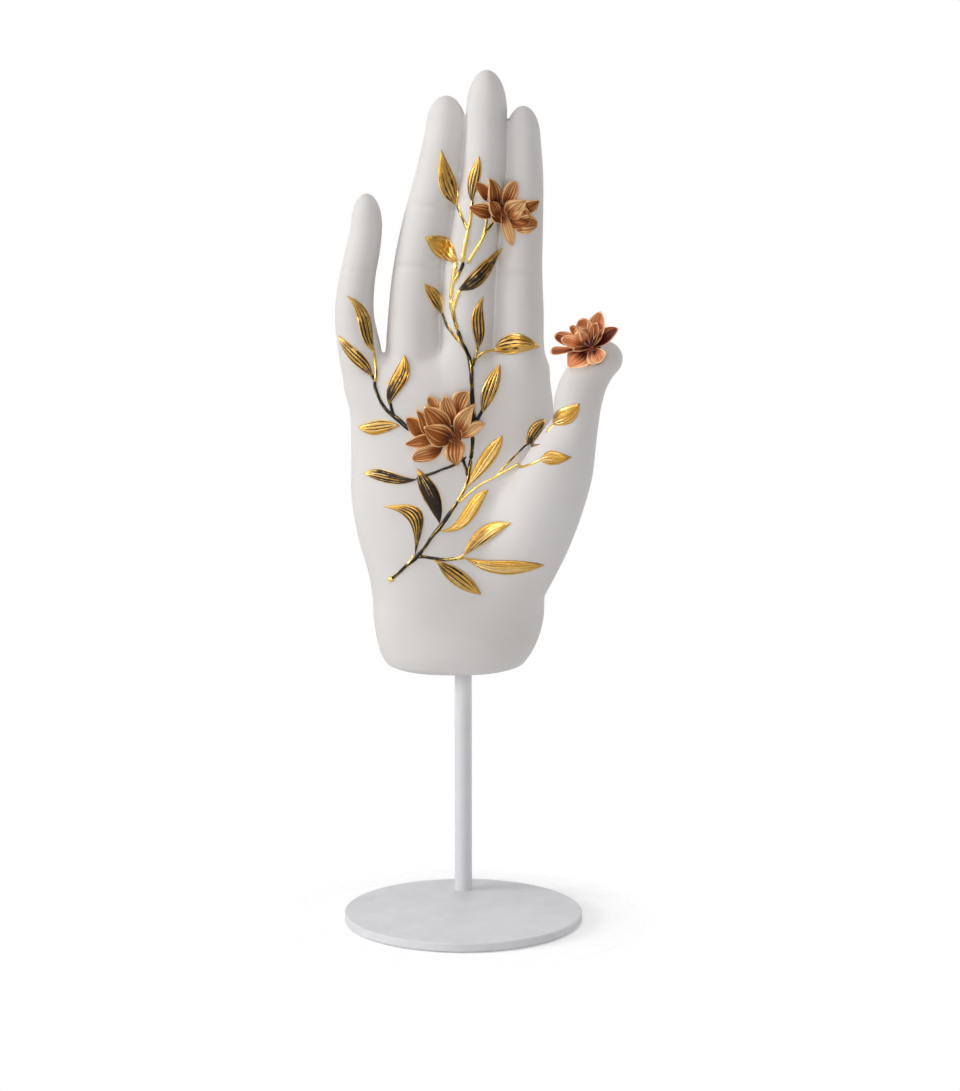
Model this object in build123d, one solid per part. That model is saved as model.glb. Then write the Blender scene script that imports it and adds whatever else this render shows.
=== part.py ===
from build123d import *
import math
import os

os.makedirs("parts", exist_ok=True)

# A raised ceramic hand, palm forward, that stands on a thin rod above a round plate.
# Millimetres. The origin is the middle of the base's underside, +Z is up and the palm faces -Y.

# Base
plate_diameter = 110.0
plate_thickness = 4.0
plate_bevel = 0.5
felt_thickness = 0.6
felt_inset = 2.5

# Rod and the screw that holds it from below
rod_diameter = 8.0
rod_setback = 36.5
rod_chamfer = 0.8
screw_diameter = 5.0
screw_length = 16.0
screw_head_diameter = 10.0
screw_head_height = 2.6
screw_socket_width = 3.0
screw_socket_depth = 1.6
thread_clearance = 0.05
tapping_allowance = 2.0

# Socket in the wrist: the rod carries a nylon sleeve, and the hand's tube turns and lifts on it
hand_lift = 108.4
socket_depth = 47.0
running_clearance = 0.05
sleeve_wall = 0.9
sleeve_crown = 1.5
tube_wall = 1.0
cap_thickness = 2.0

# Hollow hand
palm_width = 93.0
palm_depth = 54.0
palm_length = 151.0
shell_wall = 4.5
plug_recess = 1.5
plug_cover = 5.0
glue_gap = 0.1
opening_overrun = 1.0

# Digits, from their roots inside the palm to their tips
little_length = 104.5
little_width = 19.5
ring_length = 133.0
ring_width = 25.0
middle_length = 145.0
middle_width = 25.0
index_length = 128.5
index_width = 24.0
thumb_length = 134.0
thumb_width = 37.5

# Raised leaves, stems and flowers that lie on the skin of the hand
seat_gap = 0.05
leaf_relief = 0.9
petal_step = 0.5
stem_width = 2.0
palm_flower_width = 37.5
finger_flower_width = 32.0

# Open flower on the thumb
thumb_flower_width = 34.0
flower_rise = 7.0
petal_thickness = 1.1
outer_bowl_radius = 24.0
inner_bowl_radius = 12.5
bowl_spacing = 0.3
bud_diameter = 7.4
calyx_diameter = 6.0

# The rod's place in the wrist, and how square the rings of the palm and the digits are
socket_setback_share = 0.675
palm_fullness_share = 0.62
digit_fullness_share = 0.56

# Roots of the digits as shares of the palm's width, depth and length, and the reach of their round tips
# as shares of their own lengths
little_root_shares = (-0.435, 0.315, 0.790)
ring_root_shares = (-0.245, 0.315, 0.895)
middle_root_shares = (0.015, 0.285, 0.895)
index_root_shares = (0.265, 0.305, 0.895)
thumb_root_shares = (0.215, 0.315, 0.220)
little_tip_share = 0.140
ring_tip_share = 0.115
middle_tip_share = 0.130
index_tip_share = 0.120
thumb_tip_share = 0.055
tip_angles = (24, 46, 64, 78)

# Ornament: flat outlines are pushed forward through the skin. The planes where that starts, and at the web
# ends, stand at shares of the palm's depth, and its length is a share of the thumb's. A solid smaller than
# the scrap share of the largest one beside it is left out
palm_start_share = 0.30
web_end_share = 0.03
thumb_start_share = -0.24
push_share = 0.40
scrap_share = 0.10

# Palm rings: height share, then left, right, front and back shares of the width and the depth
palm_shares = [
    (0.000, -0.310, 0.225, 0.220, 0.860),
    (0.015, -0.365, 0.285, 0.140, 0.925),
    (0.045, -0.405, 0.330, 0.080, 0.965),
    (0.085, -0.425, 0.365, 0.055, 0.980),
    (0.160, -0.445, 0.400, 0.060, 0.985),
    (0.230, -0.450, 0.405, 0.035, 0.965),
    (0.310, -0.470, 0.415, -0.020, 0.920),
    (0.415, -0.515, 0.430, -0.065, 0.860),
    (0.550, -0.550, 0.445, -0.055, 0.800),
    (0.695, -0.550, 0.445, -0.020, 0.735),
    (0.830, -0.555, 0.445, 0.005, 0.680),
    (0.905, -0.565, 0.420, 0.020, 0.635),
    (0.960, -0.495, 0.405, 0.060, 0.580),
    (1.000, -0.375, 0.355, 0.140, 0.500),
]

# Digit rings: shares of the length up, sideways and forward of the root,
# half width and half depth as shares of the width, and the lean of the ring in degrees
little_shares = [
    (0.000, 0.000, 0.000, 0.385, 0.365, 0),
    (0.095, -0.025, 0.000, 0.455, 0.435, 0),
    (0.210, -0.050, 0.000, 0.490, 0.470, 0),
    (0.325, -0.065, 0.000, 0.505, 0.475, 0),
    (0.460, -0.085, 0.005, 0.460, 0.440, 0),
    (0.610, -0.075, 0.015, 0.425, 0.405, 0),
    (0.765, -0.045, 0.020, 0.400, 0.380, 0),
    (0.860, -0.030, 0.020, 0.365, 0.345, 0),
]
ring_shares = [
    (0.000, 0.000, 0.000, 0.490, 0.465, 0),
    (0.105, 0.000, 0.000, 0.495, 0.470, 0),
    (0.240, 0.005, 0.005, 0.480, 0.455, 0),
    (0.405, 0.020, 0.005, 0.465, 0.440, 0),
    (0.570, 0.050, 0.010, 0.450, 0.430, 0),
    (0.735, 0.090, 0.010, 0.425, 0.405, 0),
    (0.885, 0.115, 0.015, 0.370, 0.355, 0),
]
middle_shares = [
    (0.000, 0.000, 0.000, 0.490, 0.465, 0),
    (0.095, 0.000, 0.000, 0.495, 0.470, 0),
    (0.220, 0.005, 0.005, 0.505, 0.480, 0),
    (0.370, 0.010, 0.010, 0.495, 0.470, 0),
    (0.525, 0.030, 0.015, 0.460, 0.435, 0),
    (0.675, 0.055, 0.025, 0.410, 0.390, 0),
    (0.870, 0.065, 0.025, 0.370, 0.350, 0),
]
index_shares = [
    (0.000, 0.000, 0.000, 0.485, 0.460, 0),
    (0.110, 0.000, 0.000, 0.500, 0.475, 0),
    (0.250, 0.005, 0.005, 0.480, 0.455, 0),
    (0.420, 0.005, 0.005, 0.450, 0.430, 0),
    (0.590, 0.015, 0.010, 0.410, 0.390, 0),
    (0.765, 0.020, 0.015, 0.380, 0.360, 0),
    (0.880, 0.020, 0.015, 0.335, 0.320, 0),
]
thumb_shares = [
    (0.000, 0.000, 0.000, 0.240, 0.185, 0),
    (0.075, 0.025, 0.035, 0.405, 0.280, 0),
    (0.180, 0.060, 0.080, 0.480, 0.335, 0),
    (0.285, 0.095, 0.120, 0.500, 0.365, 0),
    (0.380, 0.125, 0.145, 0.500, 0.370, 0),
    (0.485, 0.160, 0.170, 0.465, 0.345, 0),
    (0.590, 0.198, 0.200, 0.365, 0.315, 2),
    (0.675, 0.232, 0.215, 0.275, 0.285, 6),
    (0.750, 0.240, 0.225, 0.285, 0.275, 14),
    (0.830, 0.270, 0.230, 0.265, 0.260, 34),
    (0.880, 0.310, 0.235, 0.230, 0.235, 50),
    (0.905, 0.345, 0.235, 0.195, 0.205, 56),
]

# Leaves: the carrier and shares of the base and of the tip, then how far the left side and the right
# side stand to the left of the line between them, at one third and at two thirds, as shares of its length
leaf_shares = {
    "leaf_crescent": ("palm", -0.240, 0.397, "palm", -0.393, 0.543, -0.195, -0.235, -0.370, -0.520),
    "leaf_dark_heart": ("palm", -0.117, 0.501, "palm", -0.222, 0.663, 0.070, 0.100, -0.180, -0.170),
    "leaf_left_low": ("palm", -0.226, 0.633, "palm", -0.490, 0.637, 0.115, 0.100, -0.055, -0.130),
    "leaf_pale_blade": ("palm", 0.010, 0.600, "palm", 0.195, 0.763, 0.065, 0.095, -0.085, -0.120),
    "leaf_lower_sickle": ("palm", -0.120, 0.479, "palm", 0.127, 0.598, -0.065, 0.050, -0.215, -0.160),
    "leaf_heel_upper": ("palm", 0.008, 0.402, "palm", 0.237, 0.509, 0.170, 0.180, -0.045, -0.035),
    "leaf_heel_long": ("palm", 0.008, 0.395, "palm", 0.400, 0.372, -0.013, 0.030, -0.160, -0.145),
    "leaf_heel_lower": ("palm", -0.125, 0.380, "palm", 0.089, 0.274, 0.125, 0.125, -0.140, -0.145),
    "leaf_palm_right": ("palm", 0.098, 0.835, "palm", 0.182, 0.977, 0.150, 0.150, -0.105, -0.115),
    "leaf_palm_left": ("palm", -0.315, 0.790, "palm", -0.515, 0.777, 0.130, 0.177, -0.160, -0.145),
    "leaf_little_root": ("palm", -0.356, 0.855, "palm", -0.286, 1.002, 0.145, 0.095, -0.115, -0.200),
    "leaf_little_long": ("little", 0.325, 0.322, "little", -0.218, 0.563, 0.065, -0.010, -0.130, -0.185),
    "leaf_little_low": ("little", 0.228, 0.213, "little", -0.420, 0.385, 0.105, 0.120, -0.120, -0.090),
    "leaf_ring_side": ("ring", 0.490, 0.261, "ring", 0.120, 0.367, 0.100, 0.095, -0.195, -0.205),
    "leaf_ring_flag": ("ring", 0.648, 0.444, "ring", 0.000, 0.527, 0.190, 0.165, -0.255, -0.270),
    "leaf_ring_top": ("ring", 0.460, 0.635, "ring", -0.038, 0.827, 0.200, 0.150, -0.090, -0.060),
    "leaf_middle_root": ("middle", 0.205, 0.139, "middle", 0.283, 0.301, 0.140, 0.170, -0.090, -0.025),
    "leaf_middle_large": ("middle", -0.165, 0.322, "middle", 0.555, 0.446, 0.075, 0.070, -0.190, -0.125),
    "leaf_middle_top": ("middle", -0.125, 0.600, "middle", -0.100, 0.740, 0.150, 0.130, -0.070, -0.095),
    "leaf_index_root": ("index", -0.425, 0.142, "index", 0.425, 0.151, 0.325, 0.300, -0.090, -0.055),
    "leaf_web_bud": ("palm", 0.315, 0.730, "palm", 0.400, 0.803, 0.200, 0.230, -0.110, -0.120),
    "leaf_thumb_upper": ("thumb", -0.268, 0.671, "thumb", 0.004, 0.754, 0.215, 0.175, -0.225, -0.235),
    "leaf_thumb_lower": ("thumb", -0.260, 0.552, "thumb", 0.100, 0.567, 0.280, 0.190, -0.180, -0.140),
}

# Stems: tapered runs, each with its width at the start and at the end as shares of the stem width, then
# its places on the hand
stem_shares = {
    "lower_stem": [
        (0.85, 0.95, [("palm", -0.362, 0.310), ("palm", -0.320, 0.334), ("palm", -0.272, 0.366),
                      ("palm", -0.227, 0.392), ("palm", -0.185, 0.426), ("palm", -0.148, 0.460),
                      ("palm", -0.110, 0.488), ("palm", -0.067, 0.525), ("palm", -0.026, 0.562),
                      ("palm", 0.012, 0.605), ("palm", 0.030, 0.645), ("palm", 0.039, 0.690),
                      ("palm", 0.046, 0.725), ("palm", 0.050, 0.760)]),
        (0.90, 0.70, [("palm", 0.028, 0.636), ("palm", 0.018, 0.655), ("palm", 0.008, 0.675),
                      ("palm", -0.002, 0.695)]),
    ],
    "upper_stem": [
        (1.00, 0.95, [("palm", 0.050, 0.760), ("palm", 0.053, 0.814), ("palm", 0.049, 0.845),
                      ("palm", 0.046, 0.889), ("palm", 0.043, 0.933), ("palm", 0.042, 0.962),
                      ("middle", 0.060, 0.104), ("middle", -0.011, 0.131), ("middle", -0.095, 0.157),
                      ("middle", -0.175, 0.193), ("middle", -0.240, 0.228), ("middle", -0.286, 0.264),
                      ("middle", -0.311, 0.291), ("middle", -0.304, 0.322), ("middle", -0.280, 0.354),
                      ("middle", -0.268, 0.386), ("middle", -0.266, 0.408)]),
        (0.75, 0.65, [("middle", -0.095, 0.157), ("middle", -0.168, 0.162), ("middle", -0.269, 0.182),
                      ("middle", -0.351, 0.199), ("middle", -0.408, 0.220), ("middle", -0.456, 0.240)]),
        (0.70, 0.70, [("middle", 0.110, 0.080), ("middle", 0.140, 0.091), ("middle", 0.185, 0.121),
                      ("middle", 0.208, 0.142)]),
        (0.70, 0.65, [("middle", 0.110, 0.080), ("middle", 0.165, 0.099), ("middle", 0.252, 0.114),
                      ("middle", 0.353, 0.123), ("middle", 0.457, 0.125), ("middle", 0.530, 0.127)]),
        (0.80, 0.90, [("middle", -0.275, 0.250), ("middle", -0.236, 0.278), ("middle", -0.197, 0.301),
                      ("middle", -0.150, 0.322)]),
        (0.90, 0.80, [("palm", 0.051, 0.800), ("palm", 0.073, 0.814), ("palm", 0.087, 0.829),
                      ("palm", 0.102, 0.845)]),
        (0.70, 0.90, [("middle", -0.290, 0.335), ("middle", -0.225, 0.355), ("middle", -0.160, 0.383),
                      ("middle", -0.125, 0.405)]),
    ],
    "low_branch": [
        (0.85, 0.75, [("palm", -0.234, 0.392), ("palm", -0.201, 0.395), ("palm", -0.156, 0.391),
                      ("palm", -0.111, 0.387), ("palm", -0.074, 0.386), ("palm", -0.030, 0.389),
                      ("palm", 0.010, 0.391)]),
        (0.60, 0.60, [("palm", -0.020, 0.389), ("palm", 0.012, 0.405)]),
        (0.65, 0.65, [("palm", -0.150, 0.390), ("palm", -0.119, 0.377)]),
    ],
    "side_twig": [
        (0.65, 0.65, [("palm", 0.015, 0.697), ("palm", -0.014, 0.684), ("palm", -0.052, 0.671),
                      ("palm", -0.098, 0.661), ("palm", -0.140, 0.651), ("palm", -0.181, 0.643),
                      ("palm", -0.226, 0.633)]),
    ],
    "thumb_branch": [
        (0.60, 0.50, [("palm", -0.020, 0.560), ("palm", 0.065, 0.605), ("palm", 0.170, 0.640),
                      ("palm", 0.275, 0.675), ("thumb", -0.258, 0.553)]),
        (0.50, 0.45, [("palm", 0.160, 0.637), ("palm", 0.225, 0.680), ("palm", 0.290, 0.718),
                      ("palm", 0.318, 0.732)]),
    ],
    "thumb_twig": [
        (0.45, 0.45, [("thumb", -0.310, 0.645), ("thumb", -0.290, 0.658), ("thumb", -0.264, 0.674)]),
    ],
    "left_spray": [
        (1.15, 0.60, [("palm", -0.250, 0.778), ("palm", -0.279, 0.790), ("palm", -0.307, 0.805),
                      ("palm", -0.339, 0.820), ("palm", -0.367, 0.833), ("palm", -0.387, 0.848),
                      ("palm", -0.405, 0.867), ("palm", -0.421, 0.890), ("little", 0.248, 0.176),
                      ("little", 0.290, 0.200)]),
        (0.70, 0.75, [("little", 0.262, 0.185), ("little", 0.338, 0.225), ("little", 0.343, 0.267),
                      ("little", 0.341, 0.311), ("little", 0.328, 0.330)]),
        (0.70, 0.70, [("little", 0.285, 0.192), ("little", 0.244, 0.209), ("little", 0.220, 0.217)]),
        (0.80, 0.75, [("palm", -0.325, 0.812), ("palm", -0.341, 0.824), ("palm", -0.348, 0.841),
                      ("palm", -0.355, 0.862)]),
    ],
    "left_twig": [
        (1.10, 0.70, [("middle", -0.150, 0.405), ("middle", -0.139, 0.459), ("middle", -0.125, 0.486),
                      ("middle", -0.115, 0.507), ("middle", -0.104, 0.534), ("middle", -0.111, 0.561),
                      ("middle", -0.125, 0.603)]),
        (0.75, 0.75, [("middle", -0.119, 0.505), ("middle", -0.198, 0.528), ("middle", -0.285, 0.554),
                      ("middle", -0.385, 0.583)]),
    ],
    "right_twig": [
        (0.95, 0.65, [("middle", -0.050, 0.405), ("middle", 0.054, 0.443), ("middle", 0.127, 0.469),
                      ("middle", 0.185, 0.496), ("middle", 0.249, 0.514), ("middle", 0.339, 0.537),
                      ("middle", 0.403, 0.551)]),
        (0.65, 0.60, [("middle", 0.172, 0.490), ("middle", 0.190, 0.517), ("middle", 0.187, 0.545)]),
    ],
}

# Flowers in relief: the place of the centre, then petals from the topmost layer down. A petal has its base
# and tip as shares of the flower's width, and its sides as a leaf has them
palm_flower_place_shares = ("palm", -0.040, 0.765)
palm_flower_shares = {
    "palm_flower_cup": [(-0.010, -0.065, -0.376, 0.108, 0.390, 0.340, -0.325, -0.270)],
    "palm_flower_inner_petals": [
        (0.020, 0.000, 0.255, 0.400, 0.270, 0.225, -0.185, -0.085),
        (-0.050, 0.035, -0.370, 0.357, 0.335, 0.270, -0.290, -0.265),
        (-0.015, -0.020, 0.048, -0.380, 0.315, 0.215, -0.345, -0.380),
        (-0.135, -0.125, -0.518, -0.318, 0.230, 0.195, -0.140, -0.240),
    ],
    "palm_flower_middle_petals": [
        (-0.025, 0.115, -0.100, 0.500, 0.200, 0.280, -0.195, -0.170),
        (-0.265, -0.030, -0.470, 0.306, 0.195, 0.105, -0.195, -0.230),
        (-0.215, -0.070, -0.610, -0.113, 0.135, 0.135, -0.245, -0.175),
        (0.030, -0.020, 0.375, 0.140, 0.135, 0.240, -0.195, -0.140),
    ],
    "palm_flower_outer_petals": [
        (0.030, 0.210, 0.171, 0.551, 0.245, 0.410, -0.090, -0.150),
        (-0.160, 0.240, -0.319, 0.481, 0.180, 0.240, -0.220, -0.250),
        (-0.320, 0.000, -0.594, 0.206, 0.345, 0.265, -0.180, -0.235),
    ],
}
finger_flower_place_shares = ("middle", 0.400, 0.575)
finger_flower_shares = {
    "finger_flower_inner_petals": [(0.063, -0.123, 0.366, 0.116, 0.385, 0.285, -0.380, -0.275)],
    "finger_flower_middle_petals": [
        (-0.010, 0.038, -0.179, 0.442, 0.250, 0.135, -0.190, -0.205),
        (0.029, -0.014, 0.169, -0.548, 0.105, 0.155, -0.150, -0.155),
        (-0.010, -0.141, -0.174, 0.100, 0.250, 0.210, -0.260, -0.325),
    ],
    "finger_flower_outer_petals": [
        (-0.140, 0.080, -0.393, 0.392, 0.115, 0.060, -0.275, -0.265),
        (-0.065, -0.089, -0.441, 0.029, 0.270, 0.235, -0.265, -0.225),
        (0.033, 0.021, 0.234, 0.386, 0.205, 0.265, -0.250, -0.240),
        (0.308, -0.039, 0.537, 0.103, 0.305, 0.205, -0.415, -0.310),
        (0.165, -0.233, 0.529, -0.246, 0.310, 0.400, -0.340, -0.335),
    ],
}

# Thumb flower: the direction of each petal in degrees, its reach as a share of half the flower's width,
# and its half width as a share of its reach
thumb_ring_row = 10
flower_axis = Vector(-0.25, -0.75, 0.60).normalized()
outer_petal_shares = [
    (23, 0.88, 0.30), (67, 0.90, 0.30), (103, 0.76, 0.32), (161, 0.95, 0.24), (181, 1.02, 0.15),
    (219, 0.80, 0.38), (258, 0.60, 0.42), (294, 0.64, 0.42),
]
inner_petal_shares = [(42, 0.46, 0.34), (75, 0.54, 0.32), (130, 0.56, 0.34), (163, 0.56, 0.34), (187, 0.48, 0.30)]
bud_lean_angle = 30
bud_side_angle = 126

# Heights and radii that follow
plate_bottom = felt_thickness
plate_top = plate_bottom + plate_thickness
wrist_height = plate_top + hand_lift
hand_setback = rod_setback - socket_setback_share * palm_depth
rod_top = wrist_height + socket_depth
rod_radius = rod_diameter / 2
sleeve_bore = rod_radius + running_clearance
sleeve_radius = sleeve_bore + sleeve_wall
sleeve_top = rod_top + running_clearance + sleeve_crown
tube_bore = sleeve_radius + running_clearance
tube_radius = tube_bore + tube_wall
tube_bottom = wrist_height + plug_recess
tube_top = sleeve_top + running_clearance
cap_top = tube_top + cap_thickness


def disc(radius, bottom, top, setback=0):
    """A round bar between two heights."""
    return Pos(0, setback, bottom) * extrude(Circle(radius), top - bottom)


def ring(plane, left, right, front, back, fullness_share):
    """A closed oval with its own reach on each of four sides."""
    east = Vector(right, 0)
    north = Vector(0, back)
    west = Vector(-left, 0)
    south = Vector(0, -front)
    quarters = []
    for start, end in ((east, north), (north, west), (west, south), (south, east)):
        quarters.append(Bezier(start, start + end * fullness_share, end + start * fullness_share, end))
    return plane * Wire(quarters)


class Digit:
    """A finger or the thumb: a stack of ovals along a bent centre line, closed by a round tip."""

    def __init__(self, root_shares, length, width, shares, tip_share):
        across, back, up = root_shares
        self.root = Vector(across * palm_width, hand_setback + back * palm_depth, wrist_height + up * palm_length)
        self.length = length
        self.width = width
        self.shares = shares
        self.tip_reach = tip_share * length

    def row(self, number):
        """Plane, half width and half depth of one oval."""
        up, side, forward, half, deep, lean = self.shares[number]
        centre = self.root + Vector(side, -forward, up) * self.length
        angle = math.radians(lean)
        x_dir = (math.cos(angle), 0, -math.sin(angle))
        z_dir = (math.sin(angle), 0, math.cos(angle))
        return Plane(centre, x_dir=x_dir, z_dir=z_dir), half * self.width, deep * self.width

    def place(self, across_share, up_share):
        """X and Z of a place beside the centre line."""
        height = up_share * self.length
        for number in range(len(self.shares) - 1):
            low = self.shares[number]
            high = self.shares[number + 1]
            if up_share <= high[0] or number == len(self.shares) - 2:
                part = (up_share - low[0]) / (high[0] - low[0])
                side = low[1] + part * (high[1] - low[1])
                return self.root.X + side * self.length + across_share * self.width, self.root.Z + height

    def solid(self, grow):
        """The digit with its skin moved out by grow, or in where grow is negative."""
        sections = []
        for number in range(len(self.shares)):
            plane, half, deep = self.row(number)
            sections.append(self.oval(plane, half + grow, deep + grow))
        plane, half, deep = self.row(-1)
        reach = self.tip_reach + grow
        for angle in tip_angles:
            thin = math.cos(math.radians(angle))
            lift = reach * math.sin(math.radians(angle))
            sections.append(self.oval(plane.offset(lift), (half + grow) * thin, (deep + grow) * thin))
        sections.append(Vertex(plane.offset(reach).origin))
        return Solid.make_loft(sections)

    def oval(self, plane, half, deep):
        return ring(plane, half, half, deep, deep, digit_fullness_share)


digits = {
    "little": Digit(little_root_shares, little_length, little_width, little_shares, little_tip_share),
    "ring": Digit(ring_root_shares, ring_length, ring_width, ring_shares, ring_tip_share),
    "middle": Digit(middle_root_shares, middle_length, middle_width, middle_shares, middle_tip_share),
    "index": Digit(index_root_shares, index_length, index_width, index_shares, index_tip_share),
    "thumb": Digit(thumb_root_shares, thumb_length, thumb_width, thumb_shares, thumb_tip_share),
}


def palm(grow, foot):
    """The palm and wrist with the skin moved out by grow and the lowest ring dropped by foot."""
    sections = []
    last = len(palm_shares) - 1
    for number, (up, left, right, front, back) in enumerate(palm_shares):
        height = wrist_height + up * palm_length
        if number == 0:
            height -= foot
        if number == last:
            height += grow
        middle_x = (left + right) / 2 * palm_width
        middle_y = (front + back) / 2 * palm_depth
        half_x = (right - left) / 2 * palm_width + grow
        half_y = (back - front) / 2 * palm_depth + grow
        plane = Plane((middle_x, hand_setback + middle_y, height))
        sections.append(ring(plane, half_x, half_x, half_y, half_y, palm_fullness_share))
    return Solid.make_loft(sections)


def hand(grow, foot):
    """The whole hand as one solid."""
    pieces = [digit.solid(grow) for digit in digits.values()]
    return palm(grow, foot).fuse(*pieces)


def place(carrier, across_share, up_share):
    """A place on the palm or on a digit, as X and Z."""
    if carrier == "palm":
        return Vector(across_share * palm_width, wrist_height + up_share * palm_length)
    return Vector(*digits[carrier].place(across_share, up_share))


def side_curve(base, tip, near_share, far_share):
    """A cubic curve from base to tip. It stands off the straight line between them, to the left, by a share
    of its length at one third of it and by another at two thirds."""
    run = tip - base
    left = Vector(-run.Y, run.X)
    first = base + run / 3 + left * (near_share * 3 - far_share * 3 / 2)
    second = base + run * 2 / 3 + left * (far_share * 3 - near_share * 3 / 2)
    return Bezier(base, first, second, tip)


def blade(base, tip, side_shares):
    """A pointed oval between the curves of its left and its right side."""
    return make_face([side_curve(base, tip, *side_shares[:2]), side_curve(base, tip, *side_shares[2:])])


def ribbon(points, start_width, end_width):
    """A flat strip along a smooth line, tapered evenly from its start to its end."""
    left = []
    right = []
    last = len(points) - 1
    for number, point in enumerate(points):
        before = points[max(number - 1, 0)]
        after = points[min(number + 1, last)]
        along = (after - before).normalized()
        width = start_width + (end_width - start_width) * number / last
        side = Vector(-along.Y, along.X) * (width / 2)
        left.append(point + side)
        right.append(point - side)
    sides = [Line(*line) if len(line) == 2 else Spline(*line) for line in (left, right)]
    return make_face([sides[0], sides[1], Line(left[0], right[0]), Line(left[-1], right[-1])])


def largest(sketch):
    """The largest face of a sketch, without the scraps beside it."""
    return max(sketch.faces(), key=lambda face: face.area)


def clear_of(sketch, others):
    """A sketch with what other sketches already cover taken away."""
    for other in others:
        if sketch.bounding_box().overlaps(other.bounding_box()):
            sketch = sketch - other
    return sketch


def flower(place_shares, layers, width):
    """Faces of a flower's petals by layer, each cut back where one above it lies."""
    centre = place(*place_shares)
    covered = []
    faces = {}
    for name, petals in layers.items():
        faces[name] = []
        for base_x, base_y, tip_x, tip_y, *side_shares in petals:
            base = centre + Vector(base_x, base_y) * width
            tip = centre + Vector(tip_x, tip_y) * width
            petal = blade(base, tip, side_shares)
            faces[name].append(largest(clear_of(petal, covered)))
            covered.append(petal)
    return faces, covered


# Stand
countersink_depth = screw_head_height
head_radius = screw_head_diameter / 2
screw_radius = screw_diameter / 2
hole_radius = screw_radius + thread_clearance


def screw_body(clearance, length):
    """A countersunk screw from the plate's underside, made larger all round by a clearance."""
    head = Cone(head_radius + clearance, screw_radius + clearance, countersink_depth)
    head = Pos(0, rod_setback, plate_bottom + countersink_depth / 2) * head
    return head + disc(screw_radius + clearance, plate_bottom, plate_bottom + length, rod_setback)


def base_felt():
    return disc(plate_diameter / 2 - felt_inset, 0, felt_thickness)


def base_plate():
    plate = disc(plate_diameter / 2, plate_bottom, plate_top)
    plate = chamfer(plate.edges().filter_by(GeomType.CIRCLE), plate_bevel)
    return plate - screw_body(thread_clearance, screw_length)


def base_screw():
    drive = extrude(RegularPolygon(screw_socket_width / 2, 6, major_radius=False), screw_socket_depth)
    return screw_body(0, screw_length) - Pos(0, rod_setback, plate_bottom) * drive


def stand_rod():
    rod = disc(rod_radius, plate_top, rod_top, rod_setback)
    rod = chamfer(rod.edges().sort_by(Axis.Z)[-1], rod_chamfer)
    thread_top = plate_bottom + screw_length + tapping_allowance
    return rod - disc(hole_radius, plate_top, thread_top, rod_setback)


def pivot_sleeve():
    sleeve = disc(sleeve_radius, tube_bottom, sleeve_top, rod_setback)
    return sleeve - disc(sleeve_bore, tube_bottom, rod_top + running_clearance, rod_setback)


# Hand
def socket_tube():
    tube = disc(tube_radius, tube_bottom, tube_top, rod_setback)
    return tube - disc(tube_bore, tube_bottom, tube_top, rod_setback)


def socket_cap():
    return disc(tube_radius, tube_top, cap_top, rod_setback)


def socket_space():
    """What the shell and the plug leave free for the tube and its cap."""
    return disc(tube_radius + glue_gap, wrist_height - opening_overrun, cap_top + glue_gap, rod_setback)


def hand_shell():
    cavity = hand(-shell_wall, opening_overrun)
    return hand(0, 0) - cavity - socket_space()


def wrist_plug():
    core = palm(-shell_wall - glue_gap, opening_overrun)
    slab = extrude(Plane((0, 0, tube_bottom)) * Circle(palm_length), cap_top + plug_cover - tube_bottom)
    return (core & slab) - socket_space()


# Ornament: each outline is drawn in front of the hand, and its prism is kept between two skins
push = thumb_length * push_share
palm_start = hand_setback + palm_depth * palm_start_share
web_end = hand_setback + palm_depth * web_end_share
thumb_start = hand_setback + palm_depth * thumb_start_share
zones = {
    "palm": (palm_start, push),
    "web": (palm_start, palm_start - web_end),
    "thumb": (thumb_start, push),
}


def prism(face, zone):
    start, reach = zones[zone]
    return extrude(Plane((0, start, 0), x_dir=(1, 0, 0), z_dir=(0, -1, 0)) * face, reach)


seat = hand(seat_gap, seat_gap)
heights = [leaf_relief + petal_step * level for level in range(len(palm_flower_shares))]
skins = [hand(height, height) - seat for height in heights]


def relief(faces, zone, level):
    """Raised pieces over flat outlines, as thick as their level."""
    pieces = []
    for face in faces:
        solids = (prism(face, zone) & skins[level]).solids()
        least = max(solid.volume for solid in solids) * scrap_share
        pieces += [solid for solid in solids if solid.volume > least]
    return pieces


def zone_of(name):
    if name.startswith("leaf_web"):
        return "web"
    if name.startswith(("leaf_thumb", "thumb_twig")):
        return "thumb"
    return "palm"


def ornament():
    """Every raised leaf, stem and petal in relief, by node."""
    nodes = {}
    covered = []
    flowers = (
        (palm_flower_place_shares, palm_flower_shares, palm_flower_width),
        (finger_flower_place_shares, finger_flower_shares, finger_flower_width),
    )
    for place_shares, layers, width in flowers:
        faces, petals = flower(place_shares, layers, width)
        for number, name in enumerate(faces):
            nodes[name] = relief(faces[name], "palm", len(faces) - 1 - number)
        covered += petals
    for name, runs in stem_shares.items():
        strips = []
        for start_share, end_share, spots in runs:
            points = [place(*spot) for spot in spots]
            strips.append(ribbon(points, stem_width * start_share, stem_width * end_share))
        stem = clear_of(Sketch() + strips, covered)
        nodes[name] = relief([largest(stem)], zone_of(name), 0)
        covered += strips
    for name, shares in leaf_shares.items():
        leaf = blade(place(*shares[0:3]), place(*shares[3:6]), shares[6:10])
        nodes[name] = relief([largest(clear_of(leaf, covered))], zone_of(name), 0)
        covered.append(leaf)
    return nodes


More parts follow.
